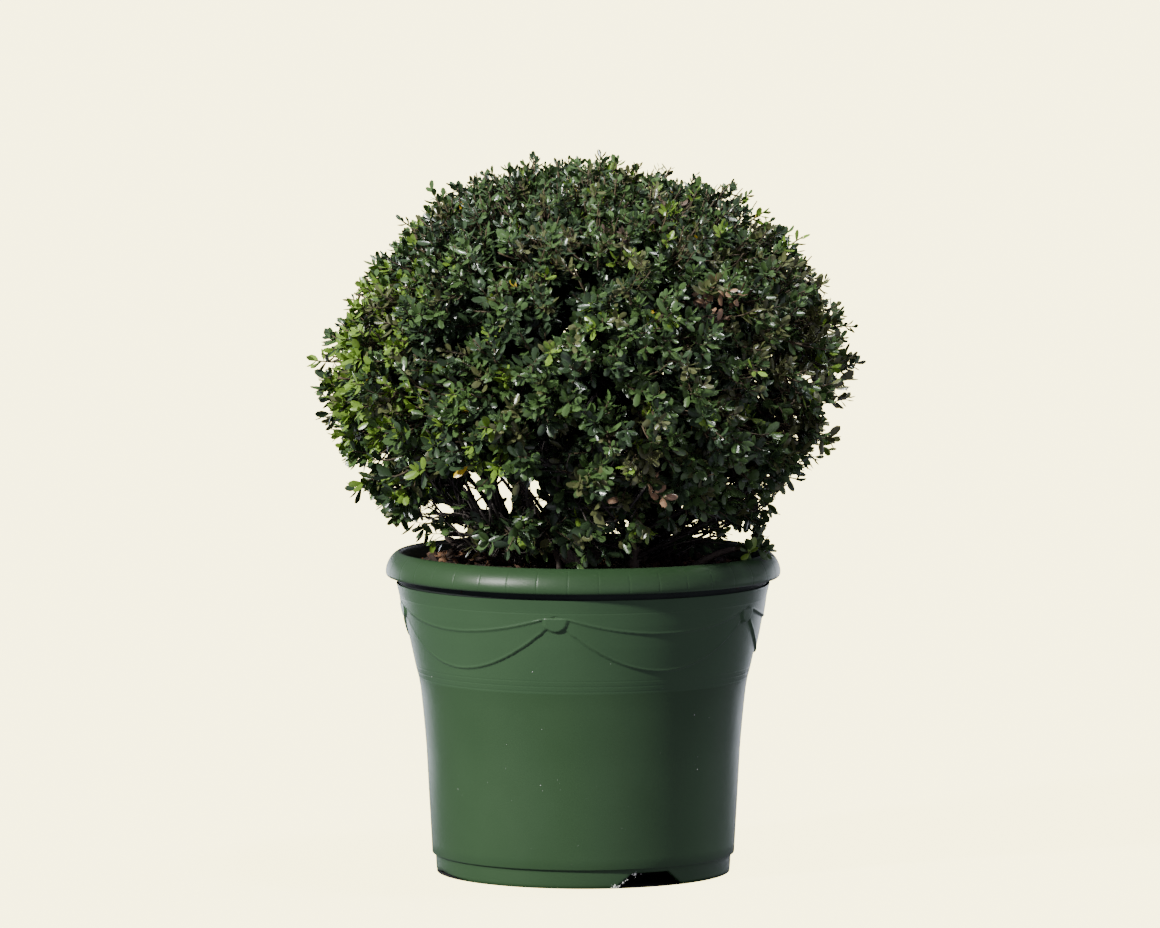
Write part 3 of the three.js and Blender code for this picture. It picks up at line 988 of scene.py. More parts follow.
        # The olive patches include painted light on the crown's shaded right and low front.
        older = seeded(index, 33) + bumps(towards, self.olive)
        tone = plain[np.digitize(older, self.tone_steps)][rows]
        tone = np.where(fresh[rows] & (order > self.fresh_from), Tone.FRESH, tone)
        tone = np.where(dead[rows], Tone.BRONZE, tone)
        leaf = np.arange(len(rows))
        tone = np.where(seeded(leaf, 36) < bumps(towards, self.dry)[rows], Tone.DRY, tone)
        if inner:
            tone = np.full(len(rows), Tone.DEEP)
        return np.where(seeded(leaf, 34) < self.yellow_share, Tone.YELLOW, tone)

    def leaves_on(self, shoots: Twigs, leafed: LeafSet) -> Leaves:
        """Sets leaves round the outer part of each shoot, each turned on, smaller and closer at its tip.

        Each leaf leans off its shoot by an angle that falls from about 62 to 22 degrees towards the tip, and
        its upper side faces the shoot's tip and the sky.

        Args:
            shoots: the shoots that carry them.
            leafed: their number, bare foot, size and seed.

        Returns:
            The leaves.
        """
        count, first, seed = leafed.count, leafed.bare, leafed.seed
        rows = np.repeat(np.arange(len(shoots)), count)
        step = np.tile(np.arange(count), len(shoots))
        order = step / (count - 1)
        n = np.arange(len(rows))
        each = shoots.some(rows)
        bare = first + (1 - first) * self.bare_foot * seeded(rows, seed + 8)
        share = bare + (1 - bare) * order**0.65
        along = each.along(share)
        turn = step * math.radians(self.leaf_turn) + TURN * seeded(rows, seed)
        turn = turn + between(n, seed + 1, -0.4, 0.4)
        lean = np.radians(self.leaf_lean[0] - self.leaf_lean[1] * order**2 + between(n, seed + 2, -16, 16))
        side = square_to(along, turn)
        towards = along * np.cos(lean)[:, None] + side * np.sin(lean)[:, None]
        loose = np.stack([between(n, seed + k, -0.35, 0.35) for k in (3, 4, 5)], axis=-1)
        upper = along + 0.7 * UP + 2.3 * loose
        upper = unit(upper - towards * np.sum(upper * towards, axis=-1, keepdims=True))
        higher = self.outline.towards(shoots.end)[rows, 2]
        level, lower = self.leaf_by_height
        length = between(n, seed + 6, *self.leaf_length) * between(rows, seed + 7, 0.78, 1.2)
        length = length * leafed.size * (1 - 0.35 * order**4) * (level - lower * higher)
        tone = self.tones(shoots, rows, order, leafed.size > self.deep_size)
        grown = Leaves(each.at(share), towards, upper, length, tone, each.mass)
        return grown.some(~self.gaps.shut(grown.foot + towards * length[:, None] * 0.5, 0.2 * length))

    def build(self, finishes: Finishes) -> None:
        """Builds the twigs and leaves of each mass and of the two low sprays.

        Args:
            finishes: the materials.
        """
        grown = self.forks()
        sprigs = self.sprig_twigs(grown[-1])
        shoots = self.shoots(grown)
        leafy = seeded(np.arange(len(shoots)), 99) > self.bare_shoots
        under = Underwood(self)
        low = under.twigs()
        sprays = [spray.twigs(number + len(MASSES)) for number, spray in enumerate(SPRAYS)]
        wood = [
            (self.mass_stems(), self.stem_section),
            *zip(grown, (level.section for level in self.levels)),
            (shoots, self.shoot_section),
            (sprigs, self.sprig_section),
            *((twigs, self.spray_section) for spray in sprays for twigs in spray),
            *zip(low, under.sections),
        ]
        leafed = [
            (shoots.some(leafy), self.shoot_leaves),
            *zip(reversed(grown), self.fork_leaves),
            (self.inner_wood(), self.wood_leaves),
            *((twigs.some(twigs.end[:, 1] > self.curtain_front), self.curtain_leaves) for twigs in grown[:2]),
            (low[-1].some(under.leafy(low[-1])), under.leaves),
            (sprigs, self.sprig_leaves),
            *((twigs[-1], spray.leaves) for spray, twigs in zip(SPRAYS, sprays)),
        ]
        leaves = Leaves.joined([self.leaves_on(twigs, leaf_set) for twigs, leaf_set in leafed])
        for number, name in enumerate(MASS_NAMES):
            made = Surface()
            for twigs, section in wood:
                chosen = twigs.some(twigs.mass == number)
                if len(chosen):
                    made.add(*tubes(chosen, section.sides, section.steps), section.kind)
            made.piece(f"twigs_{name}", finishes.twigs, [f"foliage_{name}"], "bark")
            blades = leaf_blades(leaves.some(leaves.mass == number), self.leaf_width)
            blades.piece(f"leaves_{name}", finishes.leaves, [f"foliage_{name}"], "foliage")


@dataclass
class Underwood:
    """The thin dark stems and twigs under the crown, which leave the limbs low down and fan out."""

    crown: Crown
    stems: int = 330
    left_share: float = 0.32
    right_share: float = 0.2
    stem_radii: Pair = (3.0, 1.3)
    twigs_each: int = 5
    twig_length: Pair = (28, 85)
    twig_radius: float = 1.15
    twiglets_each: int = 3
    twiglet_length: Pair = (12, 34)
    twiglet_radius: float = 0.65
    low: Pair = (-60, -20)
    left_low: Pair = (-58, -30)
    right_low: Pair = (-52, -26)
    reach: Pair = (0.5, 0.9)
    side_reach: Pair = (0.62, 0.95)
    leaf_places: Table = (
        (5, -42, 16, 0.5),
        (0, -58, 14, 0.2),
        (60, -46, 14, 0.15),
        (90, -50, 16, 0.8),
        (-14, -42, 9, 0.6),
        (-70, -40, 12, 0.4),
        (180, -44, 40, 0.4),
    )
    leafy_share: float = 0.04
    leaves: LeafSet = LeafSet(5, 0.3, 0.95, 58)
    sections: tuple[Section, ...] = (Section(5, 6, 1), Section(4, 3, 1), Section(3, 2, 1))

    def feet(self) -> list[Twigs]:
        """Gives the limbs that the thin stems leave."""
        limbs = Limbs(self.crown)
        return [curve for name, curve in limbs.curves().items() if name.startswith(("stem_", "bough_"))]

    def twigs(self) -> list[Twigs]:
        """Grows the stems, the twigs on them and the fine twiglets on those.

        Returns:
            The three levels.
        """
        n = np.arange(self.stems)
        limbs = Twigs.joined(self.feet())
        chosen = (seeded(n, 101) * len(limbs)).astype(int)
        share = seeded(n, 109)
        left, right = share < self.left_share, share > 1 - self.right_share
        chosen = np.where(left, np.argmin(limbs.end[:, 0]), chosen)
        chosen = np.where(right, np.argmax(limbs.end[:, 0]), chosen)
        each = limbs.some(chosen)
        start = each.at(between(n, 102, 0.02, 0.55))
        outer = np.degrees(np.arctan2(each.end[:, 0], -each.end[:, 1]))
        turn = outer + between(n, 103, -55, 55)
        above = between(n, 104, *self.low)
        above = np.where(left, between(n, 104, *self.left_low), above)
        above = np.where(right, between(n, 104, *self.right_low), above)
        towards = direction(turn, above)
        reach = np.where(left | right, between(n, 105, *self.side_reach), between(n, 105, *self.reach))
        end = self.crown.outline.within(towards, reach)
        span = spans(start, end)
        sag = UP * span * between(n, 107, -0.25, 0.1)[:, None]
        bend = start * 0.45 + end * 0.55 + sag + shaken(n, 106) * span * 0.25
        bend[:, 2] = np.maximum(bend[:, 2], SOIL_TOP + 12)
        size = between(n, 108, 0.7, 1.3)
        thick, thin = (radius * size for radius in self.stem_radii)
        stems = Twigs(start, bend, end, thick, thin, self.crown.mass_of(towards))
        stems = stems.some(self.crown.gaps.clear(stems))
        twigs = self.side_twigs(stems, self.twigs_each, self.twig_length, self.twig_radius, 111)
        twiglets = self.side_twigs(twigs, self.twiglets_each, self.twiglet_length, self.twiglet_radius, 121)
        return [stems, twigs, twiglets]

    def side_twigs(self, stems: Twigs, count: int, length: Pair, thick: float, seed: float) -> Twigs:
        """Grows twigs out of the sides of stems, leaning up, and none below the soil.

        Args:
            stems: what they grow from.
            count: how many on each.
            length: the shortest and longest, in millimetres.
            thick: their radius at the foot.
            seed: the seed of their places and directions.

        Returns:
            The twigs.
        """
        rows = np.repeat(np.arange(len(stems)), count)
        n = np.arange(len(rows))
        each = stems.some(rows)
        seat = between(n, seed, 0.25, 1.0)
        start, along = each.at(seat), each.along(seat)
        side = square_to(along, TURN * seeded(n, seed + 1))
        towards = unit(along * 0.8 + side * between(n, seed + 2, 0.4, 1.3)[:, None] + UP * 0.1)
        end = start + towards * between(n, seed + 3, *length)[:, None]
        bend = start * 0.5 + end * 0.5 + along * spans(start, end) * 0.18
        kept = (end[:, 2] > SOIL_TOP + 14) & (bend[:, 2] > SOIL_TOP + 6)
        outline = self.crown.outline
        inside = np.linalg.norm(end - np.array(outline.centre), axis=-1)
        kept &= inside < outline.reach(outline.towards(end)) * 0.97
        size = thick * between(n, seed + 4, 0.8, 1.2)
        grown = Twigs(start, bend, end, size, size * 0.6, each.mass)
        return grown.some(kept & self.crown.gaps.clear(grown))

    def leafy(self, twiglets: Twigs) -> np.ndarray:
        """Says which twiglets carry leaves."""
        away = self.crown.outline.towards(twiglets.end)
        return seeded(np.arange(len(twiglets)), 131) < self.leafy_share + bumps(away, self.leaf_places)


@dataclass
class Leaves(Rows):
    """Leaves, one in each row: foot, direction, upper side, length, Tone and mass."""

    foot: np.ndarray
    along: np.ndarray
    upper: np.ndarray
    length: np.ndarray
    tone: np.ndarray
    mass: np.ndarray


def leaf_blades(leaves: Leaves, width: float) -> Surface:
    """Shapes each leaf from eleven points: a midrib of five and three at each edge, widest past its middle.

    A point at share t of the length and share w of the half width lies at t along, w across, and is lowered
    by up to 0.26 t^2 of the length towards the tip and by 0.2 w^2 of the width towards the edges.

    Args:
        leaves: the leaves.
        width: their width as a share of their length.

    Returns:
        Their surface, with the tone of each leaf as the number of its finish.
    """
    t = np.array([0, 0.22, 0.55, 0.84, 1, 0.22, 0.55, 0.86, 0.22, 0.55, 0.86])
    w = np.array([0, 0, 0, 0, 0, 0.62, 1, 0.72, -0.62, -1, -0.72])
    across = np.cross(leaves.along, leaves.upper)
    n = np.arange(len(leaves))
    wide = leaves.length * width * between(n, 81, 0.85, 1.15)
    curl = between(n, 82, -0.02, 0.26)
    low = -leaves.length[:, None] * curl[:, None] * t**2 - 0.2 * wide[:, None] * w**2
    points = (
        leaves.foot[:, None]
        + leaves.along[:, None] * (leaves.length[:, None] * t)[..., None]
        + across[:, None] * (wide[:, None] * w / 2)[..., None]
        + leaves.upper[:, None] * low[..., None]
    )
    corners = np.array([[0, 5, 1], [3, 7, 4], [0, 1, 8], [3, 4, 10]])
    sides = np.array([[1, 5, 6, 2], [2, 6, 7, 3], [1, 2, 9, 8], [2, 3, 10, 9]])
    return Surface().add(points, repeated(points, corners, sides), np.repeat(leaves.tone, len(corners)))


@dataclass(frozen=True)
class LowSpray:
    """A small limb from the soil with a spray of shoots at its tip, and how low its leaves may hang."""

    name: str
    foot: Pair
    bend: Triple
    tip: Triple
    radii: Pair
    count: int = 0
    length: float = 0
    spread: float = 0
    seed: float = 0
    flat: float = 1.0
    leaves: LeafSet | None = None

    def limb(self) -> Twigs:
        """Gives the limb.

        Returns:
            A single curve.
        """
        start = np.array([[*self.foot, SOIL_TOP - CUT_OFF]])
        thick, thin = np.array(self.radii, float)[:, None]
        return Twigs(start, np.array([self.bend]), np.array([self.tip]), thick, thin, np.zeros(1, int))

    def twigs(self, mass: int) -> list[Twigs]:
        """Grows the spray: a short stem, twigs that fan out of it, and three shoots from each twig.

        Args:
            mass: the number of the spray's foliage.

        Returns:
            The stem, the twigs and the shoots.
        """
        limb = self.limb()
        along = limb.along(1)
        fork = limb.end + along * self.length * 0.3
        stem = Twigs(limb.end, (limb.end + fork) / 2, fork, limb.thin, limb.thin * 0.8, np.full(1, mass))
        i = np.arange(self.count)
        lean = np.where(i == 0, 0.15, self.spread * between(i, self.seed, 0.7, 1.2))
        side = square_to(np.repeat(along, self.count, axis=0), i * GOLDEN_ANGLE + self.seed)
        towards = along * np.cos(lean)[:, None] + side * np.sin(lean)[:, None]
        towards = unit(towards * np.array([1, 1, self.flat]))
        start = np.repeat(fork, self.count, axis=0)
        reach = self.length * between(i, self.seed + 1, 0.55, 0.8)[:, None]
        end = start + towards * reach
        bend = start + unit(along + towards) * reach * 0.5
        thick = np.full(self.count, 1.6)
        fan = Twigs(start, bend, end, thick, thick * 0.6, np.full(self.count, mass))
        rows = np.repeat(i, 3)
        n = np.arange(len(rows))
        seat = between(n, self.seed + 2, 0.45, 1.0)
        each = fan.some(rows)
        begin, out = each.at(seat), each.along(seat)
        turn = square_to(out, TURN * seeded(n, self.seed + 3)) * between(n, self.seed + 4, 0.3, 0.9)[:, None]
        tip = begin + unit(out + turn + UP * 0.35) * (self.length * 0.42)
        bow = begin + out * self.length * 0.18
        thin = np.full(len(rows), 0.9)
        return [stem, fan, Twigs(begin, bow, tip, thin, thin * 0.6, np.full(len(rows), mass))]


CUT_STUB = LowSpray("cut_stub", (-120, 60), (-139, 61, 360), (-158, 62, 376), (4.2, 2.8))
SPRAYS = (
    LowSpray(
        "low_branch",
        (110, -54),
        (140, -60, 370),
        (172, -66, 374),
        (4.6, 3),
        count=4,
        length=30,
        spread=1.3,
        seed=2,
        flat=0.7,
        leaves=LeafSet(4, 0.1, 1.05, 71),
    ),
    LowSpray(
        "front_shoot",
        (-24, -112),
        (-26, -112, 362),
        (-34, -118, 380),
        (4, 2.8),
        count=11,
        length=76,
        spread=1.25,
        seed=5,
        flat=0.8,
        leaves=LeafSet(5, 0.1, 1.3, 71),
    ),
)


# Finishes


@dataclass(frozen=True)
class Finish:
    """A finish with uneven gloss and relief, in one plain colour or two mixed, all on Object coordinates.

    Scales count per metre, and the two details are those of the broad noise and of the relief's noise.
    """

    name: str = ""
    colour: Triple = (0, 0, 0)
    second: Triple | None = None
    scale: float = 40
    roughness: Pair = (0.5, 0.7)
    relief: float = 0.2
    relief_scale: float = 400
    relief_height: float = 0.0005
    stretch: Triple = (1, 1, 1)
    detail: Pair = (4, 5)
    sharpness: float = 0.25
    specular: float = 0.5

    def material(self) -> bpy.types.Material:
        """Makes the material: a broad noise mixes colours and roughness, and a finer one is the relief.

        Returns:
            The material.
        """
        made, shader = new_material(self.name)
        tree = made.node_tree
        made.diffuse_color = (*self.colour, 1)
        shader.inputs["Base Color"].default_value = (*self.colour, 1)
        shader.inputs["Specular IOR Level"].default_value = self.specular
        place = tree.nodes.new("ShaderNodeTexCoord")
        stretched = tree.nodes.new("ShaderNodeMapping")
        stretched.inputs["Scale"].default_value = self.stretch
        tree.links.new(place.outputs["Object"], stretched.inputs["Vector"])
        broad = self.noise(tree, stretched, self.scale, self.detail[0])
        if self.second is not None:
            ramp = tree.nodes.new("ShaderNodeValToRGB")
            low, high = ramp.color_ramp.elements
            low.position, high.position = 0.5 - self.sharpness, 0.5 + self.sharpness
            low.color, high.color = (*self.colour, 1), (*self.second, 1)
            tree.links.new(broad.outputs["Fac"], ramp.inputs["Fac"])
            tree.links.new(ramp.outputs["Color"], shader.inputs["Base Color"])
        rough = tree.nodes.new("ShaderNodeMapRange")
        rough.inputs["To Min"].default_value, rough.inputs["To Max"].default_value = self.roughness
        tree.links.new(broad.outputs["Fac"], rough.inputs["Value"])
        tree.links.new(rough.outputs["Result"], shader.inputs["Roughness"])
        fine = self.noise(tree, stretched, self.relief_scale, self.detail[1])
        bump = tree.nodes.new("ShaderNodeBump")
        bump.inputs["Strength"].default_value = self.relief
        bump.inputs["Distance"].default_value = self.relief_height
        tree.links.new(fine.outputs["Fac"], bump.inputs["Height"])
        tree.links.new(bump.outputs["Normal"], shader.inputs["Normal"])
        return made

    def tints(self, *tints: tuple[str, Triple, Triple]) -> list[bpy.types.Material]:
        """Makes this finish in other colours, each given by its name and its two colours."""
        return [replace(self, name=name, colour=low, second=high).material() for name, low, high in tints]

    @staticmethod
    def noise(tree: bpy.types.NodeTree, place: bpy.types.Node, scale: float, detail: float) -> bpy.types.Node:
        """Adds a noise texture to a material.

        Args:
            tree: the material's nodes.
            place: the node that gives its place.
            scale: its scale per metre.
            detail: how many finer layers it has.

        Returns:
            The new node.
        """
        node = tree.nodes.new("ShaderNodeTexNoise")
        node.inputs["Scale"].default_value = scale
        node.inputs["Detail"].default_value = detail
        tree.links.new(place.outputs["Vector"], node.inputs["Vector"])
        return node


LEAF_COLOURS = {
    Tone.DEEP: (0.042, 0.077, 0.034),
    Tone.MID: (0.075, 0.142, 0.043),
    Tone.FRESH: (0.18, 0.31, 0.042),
    Tone.YELLOW: (0.8, 0.56, 0.03),
    Tone.BRONZE: (0.13, 0.09, 0.065),
    Tone.OLIVE: (0.112, 0.128, 0.05),
    Tone.DRY: (0.4, 0.25, 0.15),
}


PLASTIC = Finish(scale=14, roughness=(0.32, 0.44), relief=0.25, relief_scale=900, specular=0.33)
# Near-black plastic for the pocket under the rim's rolled lip: painted shade.
UNDER_RIM_SHADE = Finish(specular=0.15)
TORN = Finish(scale=300)
SOIL = Finish(scale=160, roughness=(0.85, 1.0), relief=0.8, relief_scale=700, relief_height=0.002)
CHIP = Finish(scale=120, roughness=(0.75, 0.95), relief=0.6, stretch=(1, 1, 3))
BARK = Finish(
    scale=70,
    roughness=(0.75, 0.95),
    relief=0.7,
    relief_scale=320,
    relief_height=0.001,
    stretch=(1, 1, 0.35),
)
TWIG = Finish(scale=30, roughness=(0.6, 0.85), relief=0.4, stretch=(1, 1, 0.5))
LEAF = Finish(
    scale=90,
    roughness=(0.18, 0.38),
    relief=0.25,
    relief_scale=260,
    relief_height=0.001,
    detail=(2, 2),
    specular=0.62,
)


class Finishes:
    """All the materials, made once."""

    def __init__(self) -> None:
        """Makes them."""
        self.plastic, self.pale_plastic = PLASTIC.tints(
            ("pot_plastic", (0.035, 0.079, 0.032), (0.039, 0.086, 0.036)),
            ("band_plastic", (0.044, 0.096, 0.043), (0.049, 0.104, 0.047)),
        )
        # The near-black copy of the plastic, used under the rim's lip, is painted shade.
        (self.grime,) = UNDER_RIM_SHADE.tints(("grimy_plastic", (0.02, 0.027, 0.024), (0.032, 0.042, 0.036)))
        (self.torn,) = TORN.tints(("torn_plastic", (0.5, 0.52, 0.46), (0.75, 0.77, 0.72)))
        (self.soil,) = SOIL.tints(("damp_bark_mix", (0.012, 0.008, 0.006), (0.04, 0.024, 0.015)))
        self.chips = CHIP.tints(
            ("chip_dark", (0.018, 0.011, 0.008), (0.045, 0.026, 0.016)),
            ("chip_brown", (0.06, 0.032, 0.018), (0.12, 0.062, 0.034)),
            ("chip_red", (0.12, 0.056, 0.026), (0.28, 0.15, 0.075)),
        )
        # The paler bark is painted sunlight on the cut stub and the lower front stem; the stub's grey is also
        # weathering.
        self.bark, self.pale_bark = BARK.tints(
            ("stem_bark", (0.045, 0.035, 0.028), (0.14, 0.112, 0.09)),
            ("weathered_bark", (0.26, 0.21, 0.17), (0.6, 0.51, 0.43)),
        )
        self.twigs = TWIG.tints(
            ("twig_bark", (0.055, 0.042, 0.025), (0.15, 0.112, 0.062)),
            ("old_twig_bark", (0.024, 0.02, 0.018), (0.085, 0.07, 0.06)),
        )
        names = {tone: f"leaf_{tone.name.lower()}" for tone in Tone}
        self.leaves = [replace(LEAF, name=names[tone], colour=LEAF_COLOURS[tone]).material() for tone in Tone]


# The pot


@dataclass
class Pot:
    """The green pot: foot ring with notches, tapering wall, swag band and rolled rim.

    The underside and the rim are rows of radius and height, and the two walls rows of height and radius.
    """

    columns: int = 720
    rim_lines: int = 40
    first_line: float = 4.5
    line_depth: float = 0.16
    swags: int = 5
    first_boss: float = -8.7
    boss_width: float = 30
    boss_height: float = 18
    boss_straight: float = 4
    boss_top: float = 310.5
    boss_stand: float = 4.0
    hem_top: float = 306
    hem_sag: float = 59.5
    upper_top: float = 311.8
    upper_sag: float = 22.3
    panel_stand: float = 1.9
    notches: tuple[float, ...] = (27, 147, -107)
    worn_turn: float = -72
    worn_width: float = 22
    worn_height: float = 5
    notch_foot: float = 86
    notch_top: float = 46
    notch_height: float = 16.5
    flakes: int = 120
    specks: int = 170
    dusty: Pair = (26, 308)
    foot_radius: float = 167.5
    band_radius: float = 205
    hem_stand: float = 0.7
    unevenness: float = 0.35
    underside: Table = (
        (0.5, 0),
        (17.5, 0),
        (18, 0.5),
        (19, 17),
        (60, 17),
        (110, 17),
        (161, 17),
        (162.4, 16),
        (163, 10),
        (163.5, 4),
        (163.9, 0.4),
        (164.6, 0),
        (166.6, 0),
        (167.3, 0.5),
        (167.7, 4),
        (168, 8),
        (168.2, 12),
        (168.4, 16),
        (168.5, 20.3),
        (168.7, 20.8),
        (169.3, 21),
        (171.8, 21.1),
        (172.3, 21.4),
    )
    lower_wall: Table = (
        (22, 172.6),
        (89, 176.2),
        (144, 179.2),
        (181, 182.6),
        (217, 186.5),
        (222, 187.8),
    )
    upper_wall: Table = (
        (222, 187.8),
        (236, 191.4),
        (275, 199.5),
        (300, 204),
        (317, 206.5),
        (330, 209.5),
    )
    rim: Table = (
        (209.5, 330.0),
        (210.2, 341),
        (211.4, 349),
        (213.8, 350.4),
        (216.8, 349),
        (218.4, 346),
        (219.5, 343),
        (220, 340.6),
        (220.4, 338.8),
        (221.1, 338),
        (222.6, 338.1),
        (223.8, 339),
        (224.6, 340.6),
        (224.9, 343),
        (224.7, 345.8),
        (224.1, 348.8),
        (223.1, 351.8),
        (221.8, 354.8),
        (220.1, 357.7),
        (217.9, 360.5),
        (215.2, 363),
        (212.6, 364.8),
        (210.8, 365.7),
        (209.4, 366),
        (208.4, 365.2),
        (207.9, 363),
        (207.8, 360),
        (207.7, 354),
        (207, 342),
        (206.3, 330),
        (205.9, 322),
    )
    ring_from: float = 160
    ring_top: float = 22
    even_below: float = 24
    lined_from: Pair = (215, 337)
    line_width: float = 0.12
    sway: float = 0.5
    sway_from: float = 331
    skin_gap: float = 0.15
    draped_from: float = 310
    torn_along: Pair = (-14.2, 7.4)
    torn_scatter: float = 2.6
    torn_size: Pair = (0.4, 1.7)
    speck_size: Pair = (0.35, 0.8)
    # Rows of the rim under its rolled lip that take the near-black finish: painted shade.
    shaded_rows: int = 9
    lower_rows: int = 18
    band_rows: Table = ((222, 240, 0.5), (240, 306, 1.2), (306, 318, 0.5), (318, 331, 1))
    rings: tuple[float, ...] = (224.5, 230.5, 236.5, 315)
    ring_depth: float = 0.17
    ring_width: float = 0.7

    def turns(self) -> np.ndarray:
        """Gives the angles of the columns: even ones, and closer ones at each fine line of the rim.

        Returns:
            The angles in degrees, in order.
        """
        lines = self.first_line + np.arange(self.rim_lines) * 360 / self.rim_lines
        close = (lines[:, None] + np.array([-0.2, -0.09, 0.09, 0.2])).ravel()
        return np.unique(np.concatenate([np.arange(self.columns) * 360 / self.columns, close % 360]))

    def swag_relief(self, turn: np.ndarray, height: np.ndarray) -> np.ndarray:
        """Gives how far the ornament stands out: two draped panels with hems, between half-round bosses.

        Each hem hangs as a parabola, top - sag 4 s (1 - s) at share s of the way between two bosses. A panel
        rises smoothly over a millimetre above its hem, and the hem itself is a bead 1.3 mm wide.

        Args:
            turn: angles round the pot in degrees.
            height: heights above the floor.

        Returns:
            The relief in millimetres.
        """
        spread = 360 / self.swags
        share = ((turn - self.first_boss) % spread) / spread
        drape = 4 * share * (1 - share)
        low = self.hem_top - self.hem_sag * drape
        high = self.upper_top - self.upper_sag * drape
        across = (share - np.round(share)) * math.radians(spread) * self.band_radius
        beside = smooth_step((np.abs(across) / (self.boss_width / 2) - 0.9) / 0.2)
        relief = np.zeros(np.broadcast(turn, height).shape)
        for hem, stand in ((low, self.panel_stand), (high, self.panel_stand * 0.6)):
            relief = relief + stand * smooth_step((height - hem) / 1.2 + 0.5)
            relief = relief + self.hem_stand * np.exp(-(((height - hem - 0.8) / 1.3) ** 2)) * beside
        round_top = self.boss_top - self.boss_straight
        under = np.maximum(round_top - height, 0) / (self.boss_height - self.boss_straight)
        out = np.hypot(across / (self.boss_width / 2), under)
        boss = smooth_step((1 - out) / 0.14) * smooth_step((self.boss_top - height) / 5 + 0.5)
        return np.maximum(relief, self.boss_stand * boss)

    def notch_low(self, turn: np.ndarray) -> np.ndarray:
        """Gives the height of the foot ring's lower edge, raised in each notch and where the edge is worn.

        Args:
            turn: angles round the pot in degrees.

        Returns:
            One height for each angle.
        """
        from_middle = (np.asarray(turn)[..., None] - np.array(self.notches) + 180) % 360 - 180
        across = np.radians(np.abs(from_middle).min(axis=-1)) * self.foot_radius
        slant = (self.notch_foot / 2 - across) / ((self.notch_foot - self.notch_top) / 2)
        worn = 1 - np.abs(turn - 360 * (turn > 180) - self.worn_turn) / self.worn_width
        return np.maximum(self.notch_height * np.clip(slant, 0, 1), self.worn_height * np.clip(worn, 0, 1))

    def uneven(self, turn: np.ndarray, radius: np.ndarray, height: np.ndarray) -> np.ndarray:
        """Gives the slow unevenness of the moulded wall at its points."""
        return self.unevenness * waves(ring_of(turn, radius, height), 150, 61)

    @staticmethod
    def strip(turn: np.ndarray, radius: np.ndarray, height: np.ndarray) -> tuple[np.ndarray, np.ndarray]:
        """Turns rows of radii and heights round the axis, and gives the points and the faces."""
        points = ring_of(turn[None, :], radius, height)
        return points, grid_faces(len(points), len(turn), True)

    def body(self) -> Surface:
        """Makes the underside, foot ring and lower wall; the ring's lower points rise to the notches' edge.

        Returns:
            The surface.
        """
        turn = self.turns()[None, :]
        heights = np.linspace(self.lower_wall[0][0], self.lower_wall[-1][0], self.lower_rows)
        walls = np.interp(heights, *np.array(self.lower_wall).T)
        under_radius, under_height = np.array(self.underside).T
        radius = np.concatenate([under_radius, walls])[:, None]
        height = np.concatenate([under_height, heights])[:, None]
        in_ring = (radius > self.ring_from) & (height < self.ring_top)
        lifted = np.where(in_ring, np.maximum(height, self.notch_low(turn)), height)
        uneven = self.uneven(turn, radius, height) * (height > self.even_below)
        points, faces = self.strip(self.turns(), radius + uneven, lifted)
        return Surface().add(points, [faces]).lid((0, 0, 0), points[0], False)

    def band(self) -> Surface:
        """Makes the upper wall with its step, fine rings and swags.

        Returns:
            The surface.
        """
        turn = np.arange(self.columns) * 360 / self.columns
        height = np.concatenate([np.arange(*rows) for rows in self.band_rows])
        radius = np.interp(height, *np.array(self.upper_wall).T)
        for ring in self.rings:
            radius = radius - self.ring_depth * np.exp(-(((height - ring) / self.ring_width) ** 2))
        radius, height = radius[:, None], height[:, None]
        uneven, swags = self.uneven(turn[None, :], radius, height), self.swag_relief(turn[None, :], height)
        points, faces = self.strip(turn, radius + uneven + swags, height)
        return Surface().add(points, [faces])

    def rolled_rim(self) -> Surface:
        """Makes the rolled rim with its fine upright lines, and the inner wall down into the soil.

        Returns:
            The surface, with a near-black finish on its first rows, the pocket under the rolled lip: painted
            shade.
        """
        turn = self.turns()[None, :]
        radius, height = np.array(self.rim).T[..., None]
        line = 360 / self.rim_lines
        off = np.abs((turn - self.first_line + line / 2) % line - line / 2)
        outer = (radius > self.lined_from[0]) & (height > self.lined_from[1])
        groove = self.line_depth * (off < self.line_width) * outer
        sway = self.sway * waves(ring_of(turn, radius, height * 0), 400, 62) * (height > self.sway_from)
        uneven = self.uneven(turn, radius, height)
        points, faces = self.strip(self.turns(), radius + uneven - groove, height + sway)
        # The first rows, the pocket under the lip, take the near-black finish: painted shade.
        shaded_under_lip = np.repeat(np.arange(len(height) - 1) < self.shaded_rows, points.shape[1])
        return Surface().add(points, [faces], shaded_under_lip.astype(int))

    def skin(self, turn: np.ndarray, height: np.ndarray) -> np.ndarray:
        """Gives points just off the pot's outer wall, and off the panels where it is draped.

        Args:
            turn: angles round the pot in degrees.
            height: heights above the floor.

        Returns:
            The points.
        """
        foot = tuple((high, wide) for wide, high in self.underside[-8:])
        walls = np.array(foot + self.lower_wall[1:] + self.upper_wall[1:])
        stand = self.panel_stand * (height > self.draped_from)
        return ring_of(turn, np.interp(height, *walls.T) + self.skin_gap + stand, height)

